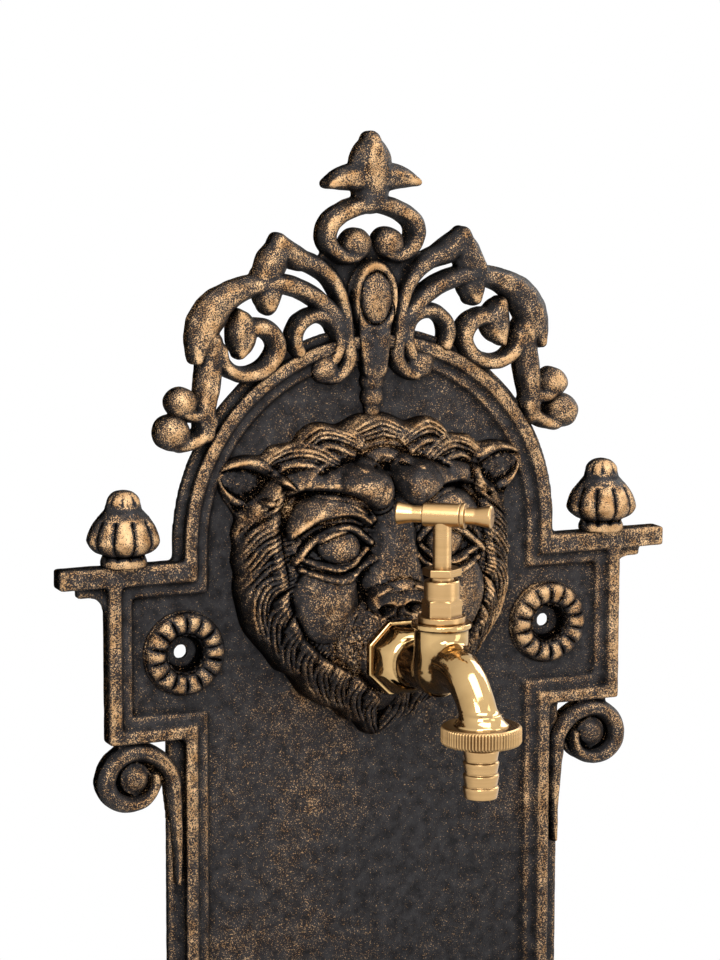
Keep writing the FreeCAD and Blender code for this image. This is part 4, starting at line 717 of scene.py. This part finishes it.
def outsideFace(across, z):
    # 0 on the face and its furrow, 1 a little way out in the mane
    levels, edge = zip(*lion["faceEdge"])
    away = across - np.interp(z, levels, edge)
    return np.clip(away / lion["maneFade"], 0, 1) ** 0.7


hair = {  # shares of a lock's length, width and rise, and the mm that its strands stand and sink
    "tip": 0.2, "swell": (0.86, 0.1), "crown": (0.55, 0.45), "root": 0.4, "bareEnds": (0.0012, 0.9992),
    "sway": (0.5, 7), "wriggle": (0.3, 15), "bend": 0.07, "strandRise": 2.0, "strandSink": 1.3,
    "strandSharp": 0.8}


def lock(x, z, ground, height, path, width, rise, strands):
    # a leaf of hair with strands along it, laid over what is under it
    side, share = alongPath(x, z, path)
    (sway, swayTurns), (wriggle, wriggleTurns) = hair["sway"], hair["wriggle"]
    sideways = (sway * np.sin(share * swayTurns + path[0][1])
                + wriggle * np.sin(share * wriggleTurns + path[0][0]))
    stretch, start = hair["swell"]
    swell = np.sqrt(np.clip(np.sin(math.pi * np.clip(share * stretch + start, 0, 1)), 0, 1))
    half = width / 2 * (hair["tip"] + (1 - hair["tip"]) * swell)
    u = side / half
    inside = np.clip(1 - u ** 2, 0, 1)
    low, more = hair["crown"]
    top = ground + rise * np.sqrt(inside) * (low + more * swell)
    comb = np.abs(np.cos(math.pi * strands * (u + hair["bend"] * sideways) / 2))
    carved = hair["strandRise"] * comb ** hair["strandSharp"] - hair["strandSink"]
    top += carved * np.sqrt(inside) * np.clip(hair["root"] + share, 0, 1)
    first, last = hair["bareEnds"]
    shown = (np.abs(u) < 1) & (share > first) & (share < last)
    return np.where(shown, np.maximum(height, top), height)


def manePath():
    # distance from the middle to the outline at each angle
    outline = np.array(lion["outline"], dtype=float)
    outline = np.concatenate([outline, outline[-2:0:-1] * [-1, 1]])
    line = spline([*outline, outline[0]], 6) - [0, lion["middle"]]
    angles = np.arctan2(line[:, 1], line[:, 0])
    order = np.argsort(angles)
    return angles[order], np.hypot(line[order, 0], line[order, 1])


def mirrored(x, path):
    # a form on one side stands on both, one across the middle stands once
    return np.abs(x) if min(point[0] for point in path) >= 0 else x


def faceRelief(x, z, bristle):
    # height of the mask above the panel's field
    level = z - lion["middle"]
    spread = (x / lion["halfWidth"]) ** 2 + (level / lion["halfHeight"]) ** 2
    base = lion["rimHeight"] + lion["dome"] * np.clip(1 - spread, 0, 1) ** 0.8
    across = np.abs(x)
    height = base.copy()
    for middle, size, rise, tilt, power in lion["pads"]:
        height += pad(across, z, middle, size, rise, tilt, power)
    for rise, path in lion["rolls"]:
        height += roll(mirrored(x, path), z, rise, path)
    for path, width, depth in lion["grooves"]:
        height -= groove(across, z, path, width, depth)
    wide, tall = lion["faceOval"]
    outside = np.hypot(x / wide, level / tall) - 1
    ground = base - lion["maneGap"] * np.clip(outside * lion["gapSteep"], 0, 1)
    height = height + ground - base
    shown = outsideFace(across, z)
    for path, width, rise, strands in lion["locks"]:
        height = lock(mirrored(x, path), z, ground, height, path, width, rise * shown, strands)
    muzzle = pad(across, z, *lion["muzzle"], 1, power=0.5)
    some, more = lion["bristleShare"]
    height = np.maximum(height, lion["leastHeight"]) + (some + more * muzzle) * bristle
    return openMouth(x, z, height)


def openMouth(x, z, height):
    # lowers the lips to a flat seat for the tap's plate
    middleX, middleZ = lion["mouth"]
    flat = lion["mouthFlat"]
    away = np.hypot(x - middleX, z - middleZ)
    blend = np.clip((away - lion["mouthRadius"]) / lion["lipBlend"], 0, 1)
    lips = np.minimum(height, flat + lion["lipRise"] * blend)
    height = np.where(away < lion["lipReach"], lips, height)
    return flat * (1 - blend) + height * blend


def gridNoise(x, z, size, layer):
    return np.array([noise.noise(Vector((a / size, b / size, layer)))
                     for a, b in zip(x.ravel(), z.ravel())]).reshape(x.shape)


def ringFaces(low, high, count, turned=False):
    # the quads between two rings of points
    faces = []
    for step in range(count):
        after = (step + 1) % count
        quad = (low + step, high + step, high + after, low + after)
        faces.append(quad[::-1] if turned else quad)
    return faces


def polarGrid(reach, rings, angles):
    share = np.linspace(0, 1, rings + 1)[1:, None]
    radius = share * reach[None, :]
    return radius * np.cos(angles), radius * np.sin(angles) + lion["middle"], share


def maskFront(reach, angles):
    x, z, share = polarGrid(reach, lion["rings"], angles)
    warp, bristle, grain = (
        gridNoise(x, z, lion[kind][0], layer)
        for kind, layer in (("warp", 3.1), ("bristle", 7.7), ("grain", 0)))
    drift = warp * lion["warp"][1]
    height = faceRelief(x + drift, z - drift, np.abs(bristle) * lion["bristle"][1])
    height = height + lion["grain"][1] * grain
    rim = np.clip((1 - share) * reach / lion["rimRound"], 0, 1)
    height = height * np.sqrt(np.clip(1 - (1 - rim) ** 2, 0, 1))
    return np.stack([x, -fieldFront - height, z], -1).reshape(-1, 3)


def maskBack(reach, angles):
    # the hollow behind the mask; its last ring is the front's
    x, z, _ = polarGrid(reach, lion["backRings"], angles)
    half, depth, tall = lion["cavity"]
    bowl = 1 - (x / half) ** 2 - ((z - lion["cavityMiddle"]) / tall) ** 2
    hollow = depth * np.sqrt(np.clip(bowl, 0, 1))
    return np.stack([x, -fieldFront - hollow, z], -1)[:-1].reshape(-1, 3)


def maskFaces(count, rings, backRings):
    start = rings * count  # of the back's points
    frontMiddle = start + (backRings - 1) * count
    backMiddle = frontMiddle + 1
    faces = []
    for step in range(count):
        after = (step + 1) % count
        faces.append((frontMiddle, step, after))
        faces.append((backMiddle, start + after, start + step))
    for ring in range(rings - 1):
        faces += ringFaces(ring * count, (ring + 1) * count, count)
    for ring in range(backRings - 2):
        faces += ringFaces(start + ring * count, start + (ring + 1) * count, count, True)
    return faces + ringFaces(start + (backRings - 2) * count, (rings - 1) * count, count, True)


def lionMask(material):
    count = lion["angles"]
    angles = np.linspace(-math.pi, math.pi, count, endpoint=False)
    reach = np.interp(angles, *manePath(), period=2 * math.pi)
    front, back = maskFront(reach, angles), maskBack(reach, angles)
    middles = [[0, front[:count, 1].mean(), lion["middle"]],
               [0, -fieldFront - lion["cavity"][1], lion["middle"]]]
    mesh = meshFrom("lion_mask_skin", np.concatenate([front, back, middles]) * mm,
                    maskFaces(count, lion["rings"], lion["backRings"]))
    markWearAndShade(mesh, **lion["wearAndShade"])
    levels, shares = lion["dullBelow"]
    rubPads(mesh, lion["rubbed"], np.interp(readPoints(mesh)[:, 2] / mm, levels, shares))
    smoothShade(mesh)
    standFor(newObject("lion_mask_skin", mesh), "lion_mask", material)


backPanel = {"voxel": 1.05, "rounds": 3, "waviness": 0.14, "keep": 0.62,
             "wearAndShade": {"fine": 0.26, "coarse": 4.6, "powder": 0.88, "recessShade": 0.3}}
basin = {"voxel": 1.7, "rounds": 3, "waviness": 0.14,
         "wearAndShade": {"fine": 0.3, "coarse": 2.4, "recessShade": 0.6}}
volute = {"voxel": 0.5, "rounds": 6, "waviness": 0.25,
          "wearAndShade": {"fine": 0.20, "coarse": 1.4, "recessShade": 0.9}}


def plainCastings(material):
    for node, look in (("back_panel", backPanel), ("basin", basin), ("volute_left", volute),
                       ("volute_right", volute)):
        recast(node, look, material)


crest = {"voxel": 0.62, "rounds": 9, "waviness": 0.40, "swell": 0.7,
         "wearAndShade": {"fine": 0.25, "coarse": 1.7, "powder": 0.85, "recessShade": 0.55},
         "pads": [((87, 159), (6, 13), 1.5), ((0, 236), (5.5, 13), 2.2)],  # middle, size, height
         "stone": (0, 171.5), "stoneSize": (11.8, 18), "stoneFront": 7, "boss": 0.7, "rise": 4.6,
         "rim": 15.4, "groove": 13.6, "rimRing": (0.89, 0.15), "stoneEnd": (1.04, 0.08),
         "rubbed": [  # middle, size, amount
             ((0, 171.5), (8.5, 13), 0.85), ((0, 171.5), (12, 18.5), 0.3),
             ((87, 159), (9, 18), 0.45), ((0, 236), (7, 15), 0.5)]}


def crestRelief(mesh, _):
    # swells the leaves and the bud, and shapes the stone in its rim
    points, normals = readPoints(mesh), readNormals(mesh)
    x, z = np.abs(points[:, 0] / mm), points[:, 2] / mm
    front = np.clip(-normals[:, 1] * 2, 0, 1)
    for middle, size, height in crest["pads"]:
        points[:, 1] -= pad(x, z, middle, size, height, power=0.6) * front * mm
    wide, tall = crest["stoneSize"]
    away = np.hypot(x / wide, (z - crest["stone"][1]) / tall)
    ring, half = crest["rimRing"]
    rim = crest["groove"] + (crest["rim"] - crest["groove"]) * np.clip(
        1 - ((away - ring) / half) ** 2, 0, 1) ** 0.5
    boss = crest["groove"] + crest["rise"] * np.sqrt(np.clip(1 - (away / crest["boss"]) ** 2, 0, 1))
    end, soft = crest["stoneEnd"]
    share = np.clip((end - away) / soft, 0, 1) * front * (points[:, 1] / mm < -crest["stoneFront"])
    points[:, 1] += (-np.maximum(rim, boss) * mm - points[:, 1]) * share
    writePoints(mesh, points)


def crestPiece(material):
    mesh = recast("crest", crest, material, crestRelief)
    rubPads(mesh, crest["rubbed"])


rosette = {"voxel": 0.5, "rounds": 3, "waviness": 0.30,
           "wearAndShade": {"fine": 0.16, "coarse": 1.0, "powder": 1.35, "recessShade": 0.6},
           "petals": 14, "petalDepth": 0.3, "ring": (9.9, 20.8), "ringFoot": 1, "ringRise": 7,
           "cup": 8.5, "cupFade": 4, "cupPowder": 0.05}


def petalRing(mesh, node):
    # rounds the ring of a rosette into petals
    low, high = nodeBox(node)
    points = readPoints(mesh) / mm
    x, z = points[:, 0] - (low[0] + high[0]) / 2, points[:, 2]
    radius, angle = np.hypot(x, z), np.arctan2(z, x)
    inner, outer = rosette["ring"]
    ring = (radius > inner) & (radius < outer) & (-points[:, 1] > fieldFront + 0.4)
    swell = np.clip(1 - ((radius - (inner + outer) / 2) / ((outer - inner) / 2)) ** 2, 0, 1)
    lift = np.abs(np.cos(rosette["petals"] * angle / 2)) ** 0.7
    between = 1 - rosette["petalDepth"] * (1 - lift)
    proud = rosette["ringFoot"] + rosette["ringRise"] * swell ** 0.5 * between
    points[ring, 1] = -(fieldFront + proud[ring])
    writePoints(mesh, points * mm)


def dullCup(mesh, node):
    # no powder reaches the cup that the wall screw stands in
    low, high = nodeBox(node)
    points = readPoints(mesh) / mm
    radius = np.hypot(points[:, 0] - (low[0] + high[0]) / 2, points[:, 2])
    share = np.clip((radius - rosette["cup"]) / rosette["cupFade"], rosette["cupPowder"], 1)
    setAttribute(mesh, "rub", readAttribute(mesh, "rub") * share.astype(np.float32))


def rosettes(material):
    for node in ("rosette_left", "rosette_right"):
        dullCup(recast(node, rosette, material, petalRing), node)


def envelope(height, radius, band=0.4):
    # the outermost radius at each height
    level = np.floor((height - height.min()) / band).astype(int)
    outer = np.zeros(level.max() + 1)
    np.maximum.at(outer, level, radius)
    padded = np.pad(outer, 1, mode="edge")
    outer = (padded[:-2] + 2 * outer + padded[2:]) / 4
    return np.interp(height, height.min() + (np.arange(len(outer)) + 0.5) * band, outer)


def lobeUpright(mesh, middle, count, depth, zone, sharp=0.6, soft=2.0, back=None):
    # draws the surface in between lobes that run round an upright axis, short of a flat back
    coreShare, backMargin = 0.72, 0.7  # a bore inside that share stays, and so does the back
    points = readPoints(mesh) / mm
    x, y, z = points[:, 0] - middle[0], points[:, 1] - middle[1], points[:, 2]
    radius, angle = np.hypot(x, y), np.arctan2(y, x)
    outer = envelope(z, radius)
    fade = np.clip((z - zone[0]) / soft, 0, 1) * np.clip((zone[1] - z) / soft, 0, 1)
    wave = 1 - np.abs(np.cos(count * angle / 2)) ** sharp
    target = outer * (1 - depth * fade * wave)
    moved = (radius > coreShare * outer) & (fade > 0)
    if back is not None:
        moved &= points[:, 1] < back - backMargin
    scale = np.where(moved, target / np.maximum(radius, 0.01), 1)
    points[:, 0] = middle[0] + x * scale
    points[:, 1] = middle[1] + y * scale
    writePoints(mesh, points * mm)


finial = {"voxel": 0.5, "rounds": 5, "waviness": 0.30,
          "wearAndShade": {"fine": 0.16, "coarse": 0.75, "powder": 1.9, "recessShade": 0.5},
          "axis": -6.5, "stud": 8,  # the stud goes down into the cornice
          "turban": (10, 0.13, (2.5, 24)), "cap": (8, 0.10, (29, 36.5))}  # lobes, depth, zone


def finialLobes(mesh, node):
    low, high = nodeBox(node)
    foot = low[2] + finial["stud"]
    for count, depth, (bottom, top) in (finial["turban"], finial["cap"]):
        lobeUpright(mesh, ((low[0] + high[0]) / 2, finial["axis"]), count, depth,
                    (bottom + foot, top + foot), back=high[1])


def finials(material):
    for node in ("finial_left", "finial_right"):
        recast(node, finial, material, finialLobes)


tapBody = {  # low and high are the corners of the space that is searched for its surface
    "voxel": 0.5, "low": (-19.6, -152, -23), "high": (19.6, -18.5, 26), "rounds": 3,
    "barrel": 13.2, "top": 24.0, "bowl": 3.0, "collar": (14.6, 21.4),  # radius, underside
    "inlet": -2.3, "neck": 11.0, "tail": (10.48, -20.0),  # radius, end behind the mask
    "plate": (18.25, -44.0, -48.5), "dome": (17.1, -62.5),  # half width, back, front; foot, tip
    "flare": (-16.5, -12.0, 13.1), "thread": -21.5,  # low and high level, radius at the lip
    "chamber": (9.2, 4.5), "way": 4.4, "wayEnd": -24, "lipCurve": 1.6,
    "neckFillet": 3, "spoutFillet": 4, "lipFillet": 3, "domeFillet": 2.5,
    "spout": [  # forward of the spindle, level, radius
        (0, 2.5, 12.6), (8, 4, 11.6), (16, 4.5, 10.6), (24, 2.8, 9.9), (31, -1, 9.5),
        (37, -6.5, 9.2), (41.5, -12.5, 9.1), (44, -18, 9.1)],
    "wearAndShade": {"fine": 0.14, "coarse": 1.3, "fineRounds": 6, "coarseRounds": 60}}


def blendForms(first, second, soft):
    # joins two forms with a fillet of about that size
    share = np.clip(0.5 + 0.5 * (second - first) / soft, 0, 1)
    return second * (1 - share) + first * share - soft * share * (1 - share)


def taperedPipe(x, forward, z, path):
    # how far each point is outside a bent pipe whose radius changes along its line
    line = spline(path, 5)
    away = np.full(x.shape, 1e9)
    for (af, az, wide), (bf, bz, widen) in zip(line, line[1:]):
        df, dz = bf - af, bz - az
        t = np.clip(((forward - af) * df + (z - az) * dz) / (df * df + dz * dz), 0, 1)
        apart = np.sqrt(x ** 2 + (forward - af - t * df) ** 2 + (z - az - t * dz) ** 2)
        away = np.minimum(away, apart - wide - t * (widen - wide))
    return away


def spoutForm(x, forward, z):
    # the swan neck, flared where the coupling nut's thread begins
    form = tapBody
    low, high, wide = form["flare"]
    narrow = form["spout"][-1][2]
    outlet = np.hypot(x, forward - (spindleAxis - outletAxis))
    rise = np.clip((high - z) / (high - low), 0, 1)
    skirt = np.maximum(outlet - narrow - (wide - narrow) * rise ** form["lipCurve"],
                       np.maximum(z - high, form["thread"] - z))
    return taperedPipe(x, forward, z, form["spout"]), skirt


def plateForm(x, y, z, level):
    # the octagonal plate, and the dome that is faceted at its foot and round at its tip
    form = tapBody
    half, back, front = form["plate"]
    turns = [(math.cos(math.pi * turn / 4), math.sin(math.pi * turn / 4)) for turn in range(4)]
    octagon = np.max([np.abs(x * c + (z - form["inlet"]) * s) for c, s in turns], axis=0)
    plate = np.maximum(octagon - half, np.maximum(y - back, front - y))
    foot, tip = form["dome"]
    share = np.clip((front - y) / (front - tip), 0, 1)
    across = octagon + (level - octagon) * np.clip(share * 1.8 - 0.5, 0, 1)
    size = form["neck"] + (foot - form["neck"]) * np.sqrt(np.clip(1 - share ** 2, 0, 1))
    return plate, np.maximum((across - size) * 0.8, np.maximum(y - front, tip - y))


def tapBodyForm(x, y, z):
    # how far each point is outside the tap's cast body
    form = tapBody
    forward = spindleAxis - y
    upright, level = np.hypot(x, forward), np.hypot(x, z - form["inlet"])
    bowl = np.minimum(z - form["bowl"], 0)
    barrel = np.maximum(np.hypot(upright, bowl) - form["barrel"], z - form["top"])
    neck = np.maximum(np.maximum(level - form["neck"], y - form["plate"][1]), forward)
    pipe, skirt = spoutForm(x, forward, z)
    plate, dome = plateForm(x, y, z, level)
    shape = blendForms(blendForms(barrel, neck, form["neckFillet"]), pipe, form["spoutFillet"])
    shape = blendForms(np.maximum(shape, form["thread"] - z), skirt, form["lipFillet"])
    shape = np.minimum(blendForms(shape, dome, form["domeFillet"]), plate)
    collar, under = form["collar"]
    shape = np.minimum(shape, np.maximum(upright - collar, np.maximum(under - z, z - form["top"])))
    tail, end = form["tail"]
    front = form["plate"][2]
    shape = np.minimum(shape, np.maximum(level - tail, np.maximum(y - end, front - y)))
    return np.maximum(shape, -tapWays(x, forward, z, upright, level))


def tapWays(x, forward, z, upright, level):
    # the chamber under the spindle and the water's way in and out
    form = tapBody
    radius, seat = form["chamber"]
    bore = form["way"]
    chamber = np.maximum(upright - radius, seat - z)
    drop = np.maximum(upright - bore, np.maximum(form["inlet"] - z, z - seat - 1))
    inlet = np.maximum(level - bore, forward)
    path = [(ahead, height, bore) for ahead, height, _ in form["spout"][1:]]
    end = (spindleAxis - outletAxis, form["wayEnd"], bore)
    spout = taperedPipe(x, forward, z, [*path, end])
    return np.minimum(np.minimum(chamber, drop), np.minimum(inlet, spout))


def netSurface(values, low, step):
    # a mesh of quads where the field passes through nought
    inside = values < 0
    size = np.array(values.shape) - 1
    count = np.zeros(size, dtype=np.int8)
    for corner in np.ndindex(2, 2, 2):
        count += inside[tuple(slice(a, a + b) for a, b in zip(corner, size))]
    mixed = (count > 0) & (count < 8)
    cells = np.argwhere(mixed)
    number = np.full(mixed.shape, -1)
    number[mixed] = np.arange(len(cells))
    total, hits = np.zeros((len(cells), 3)), np.zeros(len(cells))
    faces = []
    for axis in range(3):
        ahead, left, right = (np.eye(3, dtype=int)[(axis + turn) % 3] for turn in range(3))
        # each cell's point is the mean of the places where its edges cross the surface
        for start in (0 * left, left, right, left + right):
            first = cells + start
            one, two = values[tuple(first.T)], values[tuple((first + ahead).T)]
            crossed = (one < 0) != (two < 0)
            share = np.where(crossed, one / np.where(crossed, one - two, 1), 0)
            total += (first + ahead * share[:, None]) * crossed[:, None]
            hits += crossed
        # each edge that crosses it joins the four cells round it by a quad
        near = inside[tuple(slice(0, n) if a == axis else slice(1, n) for a, n in enumerate(size))]
        far = inside[tuple(slice(1, n + 1) if a == axis else slice(1, n)
                           for a, n in enumerate(size))]
        spots = np.argwhere(near != far) + 1 - ahead
        quads = np.stack([number[tuple((spots - shift).T)]
                          for shift in (left + right, right, 0 * left, left)], 1)
        outward = inside[tuple(spots.T)]
        faces.append(np.where(outward[:, None], quads, quads[:, ::-1]))
    return low + step * total / hits[:, None], np.concatenate(faces)


def tapBodyPiece(material):
    step, low, high = (np.array(tapBody[key], dtype=float) for key in ("voxel", "low", "high"))
    axes = [np.arange(a, b, step) for a, b in zip(low, high)]
    field = tapBodyForm(*np.meshgrid(*axes, indexing="ij"))
    points, faces = netSurface(field, low, step)
    mesh = meshFrom("tap_body_skin", points * mm, faces.tolist())
    writePoints(mesh, relax(readPoints(mesh), readEdges(mesh), len(points), tapBody["rounds"]))
    markWearAndShade(mesh, **tapBody["wearAndShade"])
    smoothShade(mesh)
    standFor(newObject("tap_body_skin", mesh), "tap_body", material)


turnedWearAndShade = {"fine": 0.14, "coarse": 1.1, "fineRounds": 6, "coarseRounds": 40}
turnedParts = {"voxel": 0.3, "rounds": 2, "wearAndShade": turnedWearAndShade,
               "nodes": ("bonnet", "spindle", "hose_tail")}
smallParts = {"voxel": 0.28, "rounds": 2, "wearAndShade": turnedWearAndShade,
              "nodes": ("gland_nut", "handle_hub", "handle_end_left", "handle_end_right")}
couplingNut = {"voxel": 0.3, "rounds": 2, "wearAndShade": turnedWearAndShade,
               "knurls": 76, "knurlDepth": 0.05, "knurlZone": (-25.8, -17.5)}


def knurlRing(mesh, _):
    nut = couplingNut
    lobeUpright(mesh, (0, outletAxis), nut["knurls"], nut["knurlDepth"], nut["knurlZone"],
                sharp=0.8, soft=0.4)


def turnedPieces(material):
    for look in (turnedParts, smallParts):
        for node in look["nodes"]:
            recast(node, look, material)
    recast("coupling_nut", couplingNut, material, knurlRing)


def dressRest(finishes):
    # screws, nuts, washers and drain keep their CAD form and get the finish of their slot
    for node, thing in frame["nodes"].items():
        if slotOf[node] in finishes:
            for slot in thing.material_slots:
                slot.material = finishes[slotOf[node]]


addCamera()
addStudio()
addFloor()
print("camera, lamps and floor are in")
recess = recessGroup()
iron = bronzedIron(stippleGroup(), recess)
polished, turned = polishedBrass(recess), turnedBrass(recess, turnedGroup())
rubber, zinc = blackRubber(), zincSteel()
dressRest({"bronzed_iron": iron, "brass": turned, "rubber": rubber, "packing": rubber,
           "steel": zinc})
print("finishes are in")
lionMask(iron)
plainCastings(iron)
crestPiece(iron)
rosettes(iron)
finials(iron)
print("castings are in")
tapBodyPiece(polished)
turnedPieces(turned)
print("tap is in")
